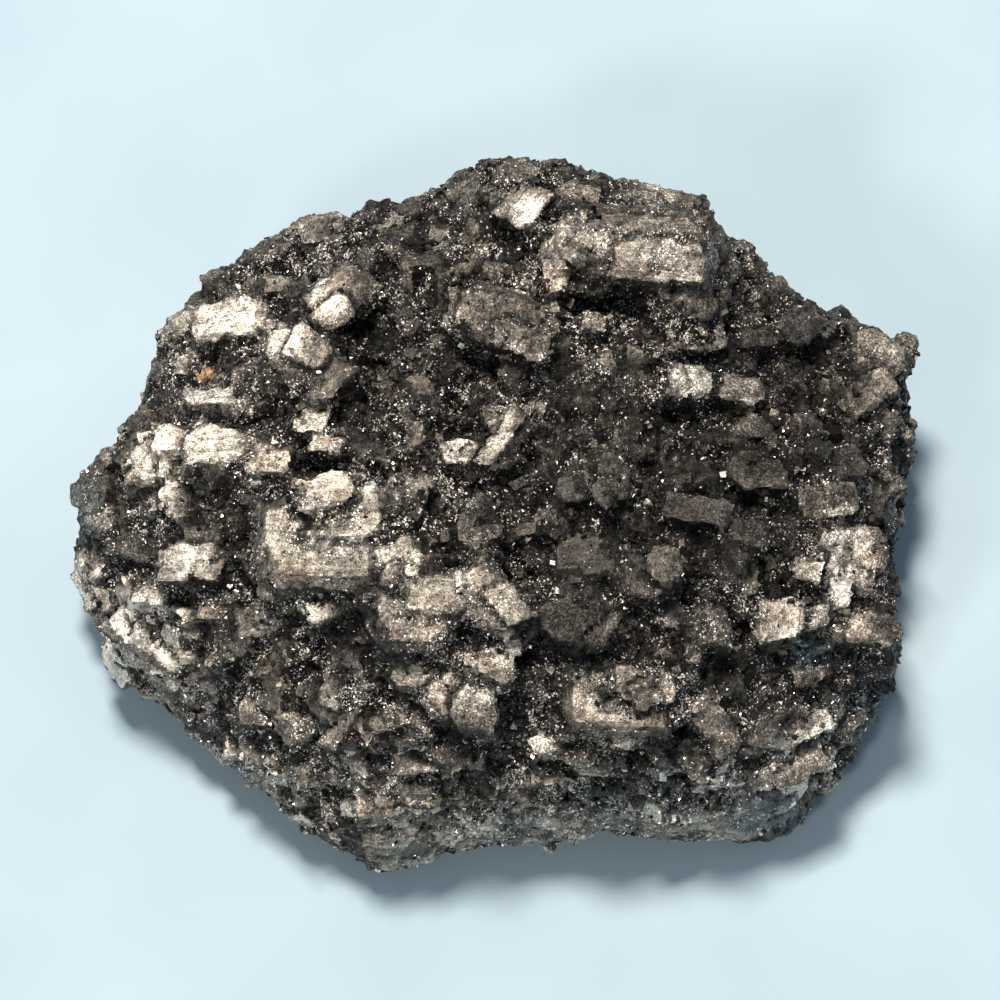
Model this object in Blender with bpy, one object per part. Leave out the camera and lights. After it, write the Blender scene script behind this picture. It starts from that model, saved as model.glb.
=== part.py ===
"""A hand-sized manganite specimen: stubby, blocky crystals grown together on a massive base.

The whole specimen is one solid. A rounded mass with an irregular outline, a lumpy broken flank and a
flat broken base carries the crystals, which stand on it as chamfered, flat-topped prisms and are
joined to it and to each other. Millimetres are used for every size below, metres in the scene. The
origin is the middle of the base, +Z is up and -Y is the front.
"""

import math
import random
from collections import namedtuple

import bmesh
import bpy
import numpy as np
from mathutils import Matrix, Vector, noise

MM = 0.001

# Driving dimensions of the massive base, in mm
DISPLAY_TILT = math.radians(62)  # the specimen's face looks this far up from its front
DISPLAY_HEIGHT = 12.0  # height of the point that the displayed face is centred on
SUMMIT = 29.0  # highest point of the mass, under the crystals
WIDEST_MIDDLE = 8.0  # height of the widest line, half way back
WIDEST_RISE = 0.12  # how much higher that line lies per mm further back
TOP_FLATNESS = 4.0  # higher is a flatter top with a sharper shoulder
SHOULDER = 0.45  # lower is a steeper shoulder
OVERHANG = 0.15  # how far the flank draws in from the widest line to the base
OVERHANG_CURVE = 1.6  # higher keeps the flank upright for longer before it draws in
BELOW_BASE = 2.2  # the sphere's underside reaches below the base, which is then cut flat
RAGGEDNESS = 0.035  # of the radius, on the lower flank
RAGGED_DETAIL = 3.0
MASS_SHARE = 0.975  # the mass stays this far inside the outline, which the crystals reach
MASS_DETAIL = 4  # subdivisions of the sphere that the mass is drawn from
LUMP_SIZE = 9.0
LUMP_HEIGHT = 1.5
CHIP_SIZE = 4.2
CHIP_HEIGHT = 2.4

# Crystals
BURIED = 4.0  # how deep a crystal's foot reaches into the mass
RISE_SHARE = 0.95  # of the rises listed below
SPREAD = 1.2  # a crystal's foot against its listed top, so that it grows into its neighbours
WOBBLE = math.radians(5)  # how unevenly the crystals stand
FOLLOW = 0.35  # how far a crystal's axis leans from upright to the mass's own slope
TAPER = 0.9
SKEW = 0.22  # how far a crystal's corners are from square
SLANT = 0.13  # how far its top is from square to its axis
CORNER_CUT = 0.24  # of the shorter side, on some of the upright edges
CORNER_CHANCE = 0.5
RIM_CUT = 0.09  # of the shorter side, around the flat top
CUT_ABOVE = 3.2  # a crystal narrower than this keeps its upright edges sharp
RIM_ABOVE = 5.2  # a crystal narrower than this keeps a sharp rim
TWIN_ABOVE = 5.6  # a crystal wider and deeper than this carries a second growth on its top
TWIN_SHARE = (0.58, 0.76)  # least and most, of the crystal that it grows on
TWIN_SHIFT = (0.15, 0.24)  # of that crystal's width and depth, towards one corner
TWIN_STEP = (0.45, 0.8)
STEEPEST = 1.2  # slope of the mass that a crystal on it still follows
LOWEST_FOOT = 1.2
BOX_MIDDLE = (-0.3, 0.0)  # of the finished specimen's box, which becomes the origin
SEED = 7

# Small crystals in the gaps
SMALL_SPACING = 4.7
SMALL_SCATTER = 0.3  # of the spacing
ROW_SPACING = 0.87  # of the spacing, between rows
SMALL_REACH = 0.93  # of the way from the middle to the outline
SMALL_WIDE = (2.4, 3.9)
SMALL_DEEP = (0.55, 0.95)  # of the width
SMALL_RISE = (0.5, 1.5)
SMALL_TILT = math.radians(28)

# Crystals of the back and sides
FLANK_WIDE = (3.4, 6.6)
FLANK_DEEP = (0.6, 0.95)  # of the width
FLANK_RISE = (-0.4, 0.4)
FLANK_UPRIGHT = (0.1, 0.5)  # from square to the flank towards upright
FLANK_TURN = 25.0  # degrees

# The outline at its widest, seen from above, anticlockwise from the right
OUTLINE = [
    (41.7, 3.5), (43.6, 7.9), (41.0, 9.2), (42.8, 12.6), (43.6, 16.8), (39.2, 17.6), (33.8, 18.8),
    (30.5, 20.8), (27.2, 23.8), (23.5, 27.0), (20.6, 29.6), (19.0, 31.7), (15.5, 33.6), (11.2, 34.8),
    (6.2, 36.2), (2.5, 37.4), (-0.3, 37.0), (-4.0, 35.8), (-6.8, 33.0), (-10.0, 31.6), (-13.4, 29.5),
    (-15.8, 30.1), (-20.0, 30.4), (-23.0, 28.4), (-26.8, 26.6), (-29.7, 24.6), (-30.4, 21.7),
    (-31.0, 19.8), (-35.3, 18.0), (-35.9, 12.4), (-37.2, 7.8), (-40.2, 5.2), (-42.3, 1.5),
    (-43.0, -2.0), (-42.4, -7.4), (-40.6, -11.4), (-38.9, -13.9), (-39.8, -17.0), (-36.4, -19.0),
    (-33.3, -21.6), (-30.3, -24.0), (-27.2, -26.4), (-23.2, -30.1), (-18.8, -33.6), (-15.3, -35.8),
    (-11.6, -37.6), (-9.0, -36.9), (-5.0, -35.9), (0.0, -35.5), (3.0, -34.5), (10.0, -34.5),
    (19.8, -34.6), (27.4, -34.3), (30.2, -30.8), (33.6, -27.3), (37.0, -23.3), (40.2, -19.5),
    (40.2, -15.9), (39.8, -10.2), (39.9, -6.0), (40.9, -2.0),
]

# Broad swells and hollows of the top: x, y, half-width, half-depth, height
SWELLS = [
    (13.0, 20.0, 11.0, 8.0, 3.5),  # the high mass at the back
    (-18.0, -8.0, 12.0, 10.0, 1.5),
    (-4.0, -20.0, 10.0, 8.0, 1.5),
    (27.0, 8.0, 11.0, 9.0, -4.5),  # the dark side, falling away to the right
    (33.5, 9.5, 3.0, 2.5, -3.0),
    (-4.0, 3.5, 10.0, 3.0, -2.5),  # the trough across the middle
    (9.5, 14.5, 5.0, 2.5, -2.5),
    (-15.5, 9.5, 3.5, 2.5, -2.5),
    (-25.5, -15.0, 3.0, 6.0, -2.0),
    (24.0, -22.0, 7.0, 4.5, -3.0),
    (-13.0, -26.0, 5.0, 3.0, -2.5),
]

# across and up: the middle of the crystal's top on the displayed face; wide and deep: its top;
# heading: of its wide side, anticlockwise from the right; rise: of its top above the mass;
# right and front: how far its top tips that way, in degrees
Crystal = namedtuple("Crystal", "across up wide deep heading rise right front")

BACK_LEFT = [
    Crystal(-27.0, 18.2, 7.6, 4.6, 3, 3.0, -4, -2),
    Crystal(-32.0, 17.6, 3.6, 2.8, 5, 2.4, -5, 0),
    Crystal(-34.2, 17.2, 2.2, 2.6, 20, 2.0, -10, 0),
    Crystal(-28.4, 23.0, 3.8, 2.8, 12, 2.4, -4, 6),
    Crystal(-15.6, 20.0, 6.6, 5.0, 42, 5.0, 8, 6),
    Crystal(-20.3, 14.2, 6.4, 5.2, -36, 5.0, -4, 0),
    Crystal(-16.7, 11.8, 3.4, 5.0, -36, 4.6, 2, 2),
    Crystal(-28.3, 10.3, 4.8, 2.4, -3, 2.8, -4, -4),
    Crystal(-25.0, 9.1, 2.0, 2.1, 0, 2.6, 0, 0),
    Crystal(-33.9, 13.0, 2.6, 2.0, 15, 1.8, -6, 0),
    Crystal(-17.8, 27.2, 4.8, 3.4, -3, 2.6, 0, 4),
    Crystal(-18.3, 7.8, 3.2, 2.9, -15, 3.0, -4, 0),
    Crystal(-16.7, 5.5, 3.4, 2.3, -15, 2.8, 0, 0),
    Crystal(-24.9, 12.4, 2.8, 3.6, 5, 2.2, 8, 4),
    Crystal(-23.0, 25.2, 4.4, 3.0, 28, 1.8, 0, 6),
    Crystal(-30.4, 13.4, 3.2, 2.8, -12, 1.6, 4, 8),
]

BACK_MIDDLE = [
    Crystal(0.8, 17.6, 9.4, 5.6, -22, 4.6, 6, 4),
    Crystal(-3.6, 18.2, 3.6, 4.4, -22, 3.6, -6, 0),
    Crystal(2.2, 29.2, 4.8, 4.2, 50, 3.2, -6, 8),
    Crystal(12.8, 25.2, 14.6, 7.2, -4, 5.2, -2, 6),
    Crystal(17.8, 22.2, 5.6, 8.4, 8, 5.0, 6, 8),
    Crystal(5.4, 23.4, 2.6, 6.2, 14, 4.0, -8, 4),
    Crystal(15.0, 29.6, 9.2, 5.0, -20, 3.2, -4, 2),
    Crystal(7.7, 29.8, 4.6, 3.6, -10, 2.6, 0, 4),
    Crystal(-8.0, 23.9, 3.6, 2.2, 0, 2.0, -4, 0),
    Crystal(-9.4, 26.7, 2.2, 1.8, 10, 1.8, 0, 0),
    Crystal(-9.4, 29.4, 3.8, 2.6, 8, 2.0, 0, 4),
    Crystal(-7.8, 11.4, 2.2, 2.5, 20, 1.8, 0, 4),
    Crystal(9.2, 17.5, 2.6, 2.2, -8, 2.0, 4, 4),
    Crystal(2.4, 11.4, 3.5, 3.1, 10, 2.0, 6, 8),
    Crystal(1.4, 32.8, 4.4, 3.2, 6, 2.0, 0, 4),
    Crystal(-3.4, 30.8, 4.0, 3.0, 30, 1.8, -4, 4),
    Crystal(9.6, 13.2, 3.6, 2.6, 15, 1.8, 4, 8),
]

BACK_RIGHT = [
    Crystal(18.5, 11.6, 4.2, 3.9, -2, 4.0, 0, 2),
    Crystal(23.8, 10.9, 4.4, 3.2, -10, 3.4, 2, 2),
    Crystal(24.6, 7.3, 3.4, 3.0, -10, 2.8, 0, 2),
    Crystal(25.6, 16.1, 3.8, 2.3, 10, 2.6, 0, 6),
    Crystal(29.8, 17.3, 3.8, 4.4, -35, 3.0, 14, 6),
    Crystal(19.1, 16.3, 6.2, 3.4, -5, 2.6, 4, 10),
    Crystal(37.8, 14.6, 5.6, 4.2, -12, 2.6, 0, 0),
    Crystal(41.0, 14.9, 3.0, 4.2, -5, 2.2, 8, 0),
    Crystal(41.0, 11.2, 2.4, 2.6, 0, 2.0, 8, 0),
    Crystal(36.6, 10.8, 5.8, 3.2, 35, 2.2, -4, 6),
    Crystal(40.9, 6.9, 3.2, 2.8, 0, 2.2, 6, 4),
    Crystal(31.6, 17.9, 3.8, 2.8, -35, 2.0, 4, 0),
    Crystal(22.0, 26.2, 5.2, 3.4, -45, 2.0, 10, 0),
    Crystal(25.6, 23.4, 4.4, 3.2, -42, 2.2, 10, 0),
    Crystal(22.8, 21.2, 5.0, 6.0, -10, 2.4, 20, 10),
    Crystal(28.2, 20.6, 4.2, 3.2, -42, 2.2, 10, 0),
    Crystal(37.0, 7.6, 5.2, 3.6, -10, 2.0, 2, 10),
    Crystal(33.0, 3.6, 6.2, 3.2, 15, 2.2, 0, 8),
    Crystal(37.6, 2.2, 4.2, 4.2, 30, 2.2, 4, 6),
    Crystal(32.0, 0.0, 6.2, 3.2, 10, 2.2, 0, 8),
    Crystal(39.0, -1.4, 3.2, 5.6, 5, 2.2, 12, 0),
    Crystal(25.0, 3.0, 5.6, 4.2, 8, 2.0, 14, 10),
    Crystal(12.8, 6.2, 4.8, 4.6, 10, 2.4, 6, 6),
]

LEFT = [
    Crystal(-33.0, 4.4, 5.8, 5.4, -3, 4.2, -4, 0),
    Crystal(-27.4, 5.6, 6.6, 4.6, 4, 4.6, 0, -3),
    Crystal(-29.0, 0.2, 8.0, 3.8, 0, 3.0, 2, 12),
    Crystal(-29.9, -6.0, 6.4, 3.9, -2, 4.0, 0, 2),
    Crystal(-29.0, -3.2, 3.8, 2.2, 4, 2.4, 0, 6),
    Crystal(-22.2, 4.1, 3.8, 3.2, -8, 3.6, -4, -2),
    Crystal(-17.4, -3.4, 11.6, 9.6, -5, 5.4, 2, 3),
    Crystal(-17.0, 1.0, 5.8, 3.6, 12, 6.0, -4, -6),
    Crystal(-14.4, -8.3, 3.2, 4.6, 35, 3.4, 4, 8),
    Crystal(-17.2, -10.6, 2.6, 2.4, 20, 3.2, -6, -4),
    Crystal(-23.2, -10.7, 2.0, 1.9, 20, 2.6, 0, 0),
    Crystal(-25.6, -13.8, 3.2, 3.0, 15, 3.4, 0, 0),
    Crystal(-35.6, -13.0, 8.4, 7.4, -38, 4.6, -14, 8),
    Crystal(-31.6, -18.4, 7.6, 6.0, -40, 4.2, -10, 12),
    Crystal(-38.4, -15.0, 4.2, 4.2, -20, 2.2, -14, 6),
    Crystal(-38.8, -0.2, 6.2, 6.2, 10, 2.4, -14, 4),
    Crystal(-39.4, 3.6, 3.2, 2.9, 40, 2.0, -12, 0),
    Crystal(-35.6, -4.6, 4.2, 2.6, -20, 2.6, -4, 2),
    Crystal(-40.0, -5.6, 3.8, 3.8, 10, 2.0, -14, 0),
    Crystal(-37.4, -8.7, 5.2, 2.7, 15, 2.4, -6, 2),
    Crystal(-33.9, -8.8, 3.2, 2.6, -10, 2.8, 0, 0),
    Crystal(-23.0, -7.1, 3.2, 2.6, -25, 2.6, 10, 10),
    Crystal(-29.4, -21.0, 4.0, 3.2, -10, 2.6, 0, 8),
    Crystal(-30.2, -11.0, 2.6, 2.1, 6, 2.2, 0, 0),
    Crystal(-36.0, 8.2, 3.2, 2.4, 30, 2.0, -10, 0),
    Crystal(-36.4, 5.2, 3.8, 3.4, 42, 1.8, -14, 0),
]

MIDDLE = [
    Crystal(-10.6, 0.1, 3.5, 3.2, 10, 3.6, 0, 0),
    Crystal(-7.9, 1.4, 3.3, 2.8, 25, 3.8, 2, 0),
    Crystal(-3.8, 4.8, 3.8, 2.8, 0, 3.8, 0, -2),
    Crystal(0.1, 6.2, 7.0, 1.9, 57, 5.2, 0, 0),
    Crystal(1.6, 6.2, 3.8, 1.7, 57, 4.2, 6, 4),
    Crystal(0.4, 4.2, 3.0, 2.2, 20, 3.8, 0, 0),
    Crystal(-2.1, -2.2, 4.5, 4.2, 30, 4.0, 2, 0),
    Crystal(-9.6, -5.4, 4.8, 4.4, 30, 4.2, 0, -2),
    Crystal(-8.2, -10.6, 7.9, 7.0, -8, 5.6, 0, 2),
    Crystal(-8.4, -15.8, 4.3, 3.9, -5, 4.2, 0, 12),
    Crystal(-1.0, -9.4, 7.5, 4.9, -50, 5.0, -2, 0),
    Crystal(-3.8, -18.0, 7.0, 6.4, -12, 5.4, -2, 2),
    Crystal(-0.8, -15.4, 5.1, 3.0, -22, 5.8, 0, -6),
    Crystal(10.2, 2.0, 4.8, 4.8, 40, 3.6, -2, 10),
    Crystal(6.8, 1.2, 3.2, 2.9, 20, 3.0, 0, 4),
    Crystal(2.3, -2.7, 2.6, 1.8, 5, 2.8, 0, 0),
    Crystal(8.2, -5.2, 5.3, 3.7, -5, 3.0, 4, 6),
    Crystal(8.2, -10.8, 7.2, 6.8, -35, 3.8, 4, 8),
    Crystal(13.8, -7.2, 5.2, 5.2, -20, 3.6, 2, 6),
    Crystal(-2.8, -13.2, 2.3, 1.6, 15, 3.6, 0, 0),
    Crystal(19.0, -0.9, 6.3, 2.8, -8, 4.4, 0, 4),
    Crystal(23.5, -2.9, 4.4, 2.7, -15, 3.6, 2, 6),
]

RIGHT = [
    Crystal(34.4, -5.6, 5.4, 6.6, -12, 3.8, -4, 0),
    Crystal(34.4, -11.0, 8.0, 5.2, -8, 3.2, 2, 6),
    Crystal(35.8, -15.6, 6.2, 3.4, 5, 2.6, 4, 12),
    Crystal(27.2, -11.2, 4.7, 4.3, 8, 4.2, -4, 0),
    Crystal(30.2, -11.2, 3.5, 2.7, 5, 3.8, 0, 2),
    Crystal(20.1, -12.0, 4.3, 4.0, -2, 3.8, 0, 0),
    Crystal(18.6, -14.6, 2.1, 2.2, 0, 3.0, 0, 2),
    Crystal(29.6, -6.6, 3.4, 2.7, -15, 2.8, 0, 0),
    Crystal(39.0, -9.2, 2.2, 2.8, 0, 1.8, 10, 0),
    Crystal(36.4, -20.8, 3.6, 4.2, -35, 2.0, 16, 14),
    Crystal(34.4, -24.2, 3.2, 2.4, 30, 1.8, 10, 10),
    Crystal(38.8, -16.6, 2.6, 5.2, 3, 2.0, 14, 4),
    Crystal(23.0, -7.4, 4.0, 3.0, -18, 2.0, 6, 8),
]

FRONT = [
    Crystal(11.2, -18.8, 9.6, 6.4, -3, 4.8, 0, 4),
    Crystal(9.0, -23.4, 6.5, 3.7, -15, 3.8, 0, 12),
    Crystal(15.6, -19.4, 2.0, 4.4, -8, 5.0, 8, 0),
    Crystal(4.4, -23.3, 3.5, 2.3, 12, 4.2, 0, -4),
    Crystal(4.6, -26.4, 3.2, 2.0, 0, 2.8, 0, 4),
    Crystal(1.2, -27.9, 5.2, 3.1, 30, 3.2, 0, 6),
    Crystal(8.6, -27.9, 2.6, 2.3, -35, 2.8, 0, 4),
    Crystal(7.5, -30.4, 5.2, 3.0, -5, 2.2, 0, 14),
    Crystal(15.8, -27.7, 3.8, 3.7, -15, 3.2, 0, 8),
    Crystal(-2.8, -24.8, 2.8, 2.3, -10, 3.0, 0, 2),
    Crystal(20.4, -21.2, 5.8, 3.2, -58, 4.2, 2, 2),
    Crystal(30.0, -21.8, 4.8, 2.4, 25, 2.6, -4, -4),
    Crystal(27.4, -25.8, 10.6, 5.4, 14, 1.6, 4, 26),
    Crystal(-16.5, -30.0, 2.8, 3.4, -5, 3.2, -2, 6),
    Crystal(-12.0, -29.5, 5.0, 3.1, 8, 3.4, 0, 6),
    Crystal(-7.6, -28.1, 3.4, 3.3, 15, 3.2, 0, 8),
    Crystal(-10.3, -33.0, 7.0, 3.2, 5, 1.8, -4, 20),
    Crystal(-15.0, -20.8, 6.2, 2.0, 57, 3.2, 0, 6),
    Crystal(-16.2, -18.3, 2.4, 3.2, -15, 3.2, 0, 4),
    Crystal(-11.2, -21.4, 3.0, 2.0, 20, 3.0, 0, 2),
    Crystal(-7.8, -20.9, 3.6, 2.2, -30, 2.6, 0, 8),
    Crystal(-23.8, -20.2, 3.6, 3.4, 5, 3.0, 2, 8),
    Crystal(-28.0, -23.9, 3.2, 2.3, -30, 2.0, -6, 12),
    Crystal(-25.2, -25.6, 3.2, 2.6, -38, 2.0, -6, 12),
    Crystal(-22.6, -28.4, 3.4, 2.4, -40, 2.0, -6, 12),
    Crystal(-19.2, -25.2, 5.0, 3.2, 60, 2.4, 4, 10),
    Crystal(-19.5, -21.8, 4.0, 3.6, 30, 2.4, 0, 8),
    Crystal(-8.0, -25.0, 4.2, 2.6, 5, 2.2, 0, 12),
    Crystal(20.0, -25.6, 2.8, 2.6, -10, 2.4, 0, 6),
    Crystal(11.6, -28.0, 3.0, 2.3, -20, 2.2, 0, 8),
    Crystal(21.4, -31.0, 3.6, 2.8, 8, 1.6, 0, 20),
]

CRYSTALS = BACK_LEFT + BACK_MIDDLE + BACK_RIGHT + LEFT + MIDDLE + RIGHT + FRONT

# Crystals of the back and sides stand in rows round the flank: start and end in degrees
# anticlockwise from the right, how far down the flank from 0 at the summit to 1 at the widest
# line, and how many
FLANK_ROWS = [
    (34, 150, 0.83, 9),
    (30, 152, 0.95, 10),
    (172, 208, 0.95, 3),
    (-24, 6, 0.95, 3),
]


def clear_scene():
    """Removes the objects that a new file starts with."""
    for thing in list(bpy.data.objects):
        bpy.data.objects.remove(thing, do_unlink=True)


def outline_radius(angle):
    """Distance from the middle to the outline in one direction."""
    angles = [math.atan2(y, x) for x, y in OUTLINE]
    radii = [math.hypot(x, y) for x, y in OUTLINE]
    return float(np.interp(angle, angles, radii, period=2 * math.pi)) * MASS_SHARE


def widest_height(y):
    """Height of the widest line."""
    return WIDEST_MIDDLE + WIDEST_RISE * y


def swell(x, y):
    """Sum of the broad swells and hollows at one place."""
    total = 0.0
    for at_x, at_y, half_width, half_depth, height in SWELLS:
        away = ((x - at_x) / half_width) ** 2 + ((y - at_y) / half_depth) ** 2
        total += height * math.exp(-away)
    return total


def top_height(x, y):
    """Height of the mass's upper surface above the base."""
    share = math.hypot(x, y) / outline_radius(math.atan2(y, x))
    if share >= 1.0:
        return 0.0
    low = widest_height(y)
    lumps = LUMP_HEIGHT * noise.noise(Vector((x, y, 0.0)) / LUMP_SIZE)
    high = SUMMIT + swell(x, y) + lumps
    return low + (high - low) * (1.0 - share**TOP_FLATNESS) ** SHOULDER


def mass_point(angle, down):
    """Point of the mass's surface: down is 0 at the summit, 1 at the widest line, 2 at the bottom."""
    radius = outline_radius(angle)
    if down <= 1.0:
        share = min(math.sin(down * math.pi / 2), 0.9999)
        x = share * radius * math.cos(angle)
        y = share * radius * math.sin(angle)
        return Vector((x, y, top_height(x, y)))
    below = down - 1.0
    share = 1.0 - OVERHANG * (2.0 * below) ** OVERHANG_CURVE
    if below > 0.5:
        share = (1.0 - OVERHANG) * (1.0 - below) / 0.5
    around = Vector((math.cos(angle), math.sin(angle), down))
    share *= 1.0 + RAGGEDNESS * noise.noise(around * RAGGED_DETAIL)
    x = share * radius * math.cos(angle)
    y = share * radius * math.sin(angle)
    return Vector((x, y, widest_height(y) * (1.0 - BELOW_BASE * below)))


def mass_normal(angle, down):
    """Outward direction of the mass's surface."""
    step = 0.05
    along = mass_point(angle + step, down) - mass_point(angle - step, down)
    downward = mass_point(angle, down + step) - mass_point(angle, down - step)
    return downward.cross(along).normalized()


def top_normal(x, y):
    """Upward direction of the mass's upper surface."""
    step = 1.5
    slope_x = (top_height(x + step, y) - top_height(x - step, y)) / (2 * step)
    slope_y = (top_height(x, y + step) - top_height(x, y - step)) / (2 * step)
    slope_x = max(-STEEPEST, min(STEEPEST, slope_x))
    slope_y = max(-STEEPEST, min(STEEPEST, slope_y))
    return Vector((-slope_x, -slope_y, 1.0)).normalized()


def on_display(across, up, lift):
    """Point of the mass's top, lifted, that is seen at one place of the displayed face.

    Past the mass's edge it is the point in line with that place that comes nearest to the edge.
    """
    nearest = None
    least = math.inf
    height = SUMMIT + 12.0
    while height > LOWEST_FOOT:
        y = (up - (height - DISPLAY_HEIGHT) * math.cos(DISPLAY_TILT)) / math.sin(DISPLAY_TILT)
        share = math.hypot(across, y) / outline_radius(math.atan2(y, across))
        if share < 1.0 and top_height(across, y) + lift >= height:
            return Vector((across, y, height))
        if share < least and height < WIDEST_MIDDLE + 10.0:
            least = share
            nearest = Vector((across, y, height))
        height -= 0.1
    return nearest


def build_mass():
    """The massive base: a sphere drawn out to the outline and cut flat underneath."""
    mesh = bmesh.new()
    bmesh.ops.create_icosphere(mesh, subdivisions=MASS_DETAIL, radius=1.0)
    for vertex in mesh.verts:
        down = math.acos(max(-1.0, min(1.0, vertex.co.z))) * 2 / math.pi
        angle = math.atan2(vertex.co.y, vertex.co.x)
        place = mass_point(angle, down)
        level = Vector((math.cos(angle), math.sin(angle), 0.0))
        out = level.lerp(Vector((0, 0, 1)), 1.0 - min(down, 1.0))
        vertex.co = place + out * CHIP_HEIGHT * noise.noise(place / CHIP_SIZE)
    whole = mesh.verts[:] + mesh.edges[:] + mesh.faces[:]
    bmesh.ops.bisect_plane(
        mesh, geom=whole, plane_co=(0, 0, 0), plane_no=(0, 0, 1), clear_inner=True
    )
    rim = [edge for edge in mesh.edges if edge.is_boundary]
    bmesh.ops.contextual_create(mesh, geom=rim)
    bmesh.ops.recalc_face_normals(mesh, faces=mesh.faces)
    return mesh


def add_prism(mesh, top, axis, wide_direction, wide, deep, length, lean, chance):
    """One flat-topped crystal, its chamfers by its size, hanging down its axis from its top.

    lean is how far its corners are from square and how far its top slants both ways.
    """
    narrow = min(wide, deep)
    made = bmesh.ops.create_cube(mesh, size=1.0)["verts"]
    for vertex in made:
        shrink = TAPER if vertex.co.z > 0 else 1.0
        vertex.co.x *= wide * shrink
        vertex.co.y *= deep * shrink
        vertex.co.z = (vertex.co.z - 0.5) * length
    upright = []
    for vertex in made:
        for edge in vertex.link_edges:
            falls = vertex.co.z - edge.other_vert(vertex).co.z > length / 2
            if falls and narrow > CUT_ABOVE and chance.random() < CORNER_CHANCE:
                upright.append(edge)
    if upright:
        cut = bmesh.ops.bevel(
            mesh, geom=upright, offset=CORNER_CUT * narrow, segments=1, affect="EDGES"
        )
        made = {v for v in made if v.is_valid} | {v for face in cut["faces"] for v in face.verts}
    if narrow > RIM_ABOVE:
        edges = {edge for vertex in made for edge in vertex.link_edges}
        rim = [e for e in edges if all(v.co.z > -length / 4 for v in e.verts)]
        cut = bmesh.ops.bevel(
            mesh, geom=rim, offset=RIM_CUT * narrow, segments=1, affect="EDGES"
        )
        made = {v for v in made if v.is_valid} | {v for face in cut["faces"] for v in face.verts}
    skew, slant_across, slant_beside = lean
    for vertex in made:
        vertex.co.x += skew * vertex.co.y
        vertex.co.z += slant_across * vertex.co.x + slant_beside * vertex.co.y
    across = (wide_direction - wide_direction.dot(axis) * axis).normalized()
    turn = Matrix((across, axis.cross(across), axis)).transposed().to_4x4()
    bmesh.ops.transform(mesh, matrix=Matrix.Translation(top) @ turn, verts=list(made))


def grow(mesh, top, axis, heading, wide, deep, length, chance):
    """A crystal, with a second growth parallel to it on its top where it is large."""
    reach = (top.z - LOWEST_FOOT) / max(axis.z, 0.2)
    length = min(length, reach) if axis.z > 0.2 else length
    direction = Vector((math.cos(heading), math.sin(heading), 0.0))
    lean = (
        chance.uniform(-SKEW, SKEW), chance.uniform(-SLANT, SLANT), chance.uniform(-SLANT, SLANT)
    )
    add_prism(mesh, top, axis, direction, wide, deep, length, lean, chance)
    if min(wide, deep) > TWIN_ABOVE:
        across = (direction - direction.dot(axis) * axis).normalized()
        beside = axis.cross(across)
        share = chance.uniform(*TWIN_SHARE)
        shift = across * wide * chance.choice((-1, 1)) * chance.uniform(*TWIN_SHIFT)
        shift += beside * deep * chance.choice((-1, 1)) * chance.uniform(*TWIN_SHIFT)
        step = axis * chance.uniform(*TWIN_STEP)
        size = (wide * share, deep * share, length / 2)
        add_prism(mesh, top + shift + step, axis, direction, *size, lean, chance)


def keep_inside(top, half):
    """Moves a crystal's top in from the edge until half its width fits on the mass."""
    radius = outline_radius(math.atan2(top.y, top.x))
    share = min(1.0, (radius - half) / math.hypot(top.x, top.y))
    if share == 1.0:
        return top
    x = top.x * share
    y = top.y * share
    return Vector((x, y, min(top.z, top_height(x, y) + half)))


def wobble(chance, most):
    """A small random turn."""
    tip = Matrix.Rotation(chance.uniform(-most, most), 3, "X")
    return tip @ Matrix.Rotation(chance.uniform(-most, most), 3, "Y")


def grow_display(mesh, chance):
    """The crystals of the displayed face."""
    places = []
    for item in CRYSTALS:
        rise = item.rise * RISE_SHARE
        top = on_display(item.across, item.up, rise)
        top = keep_inside(top, 0.45 * min(item.wide, item.deep))
        axis = Vector((0, 0, 1)).lerp(top_normal(top.x, top.y), FOLLOW).normalized()
        tip = Matrix.Rotation(math.radians(item.right), 3, "Y")
        tip @= Matrix.Rotation(math.radians(item.front), 3, "X")
        axis = wobble(chance, WOBBLE) @ tip @ axis
        wide = item.wide * SPREAD
        deep = item.deep * SPREAD
        length = rise + BURIED + 0.4 * max(wide, deep)
        grow(mesh, top, axis, math.radians(item.heading), wide, deep, length, chance)
        places.append((top.x, top.y, (wide + deep) / 4))
    return places


def grow_small(mesh, places, chance):
    """Small crystals at all angles in the gaps between the listed ones."""
    rows = int(max(math.hypot(x, y) for x, y in OUTLINE) / (SMALL_SPACING * ROW_SPACING)) + 1
    for row in range(-rows, rows + 1):
        for column in range(-rows, rows + 1):
            x = column + 0.5 * (row % 2) + chance.uniform(-SMALL_SCATTER, SMALL_SCATTER)
            x *= SMALL_SPACING
            y = row + chance.uniform(-SMALL_SCATTER, SMALL_SCATTER)
            y *= SMALL_SPACING * ROW_SPACING
            wide = chance.uniform(*SMALL_WIDE)
            share = math.hypot(x, y) / outline_radius(math.atan2(y, x))
            crowded = any(math.hypot(x - a, y - b) < half + 0.3 * wide for a, b, half in places)
            if share > SMALL_REACH or crowded:
                continue
            axis = wobble(chance, SMALL_TILT) @ top_normal(x, y)
            top = Vector((x, y, top_height(x, y))) + axis * chance.uniform(*SMALL_RISE)
            deep = wide * chance.uniform(*SMALL_DEEP)
            grow(mesh, top, axis, chance.uniform(0, math.pi), wide, deep, BURIED + 1.0, chance)


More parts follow.
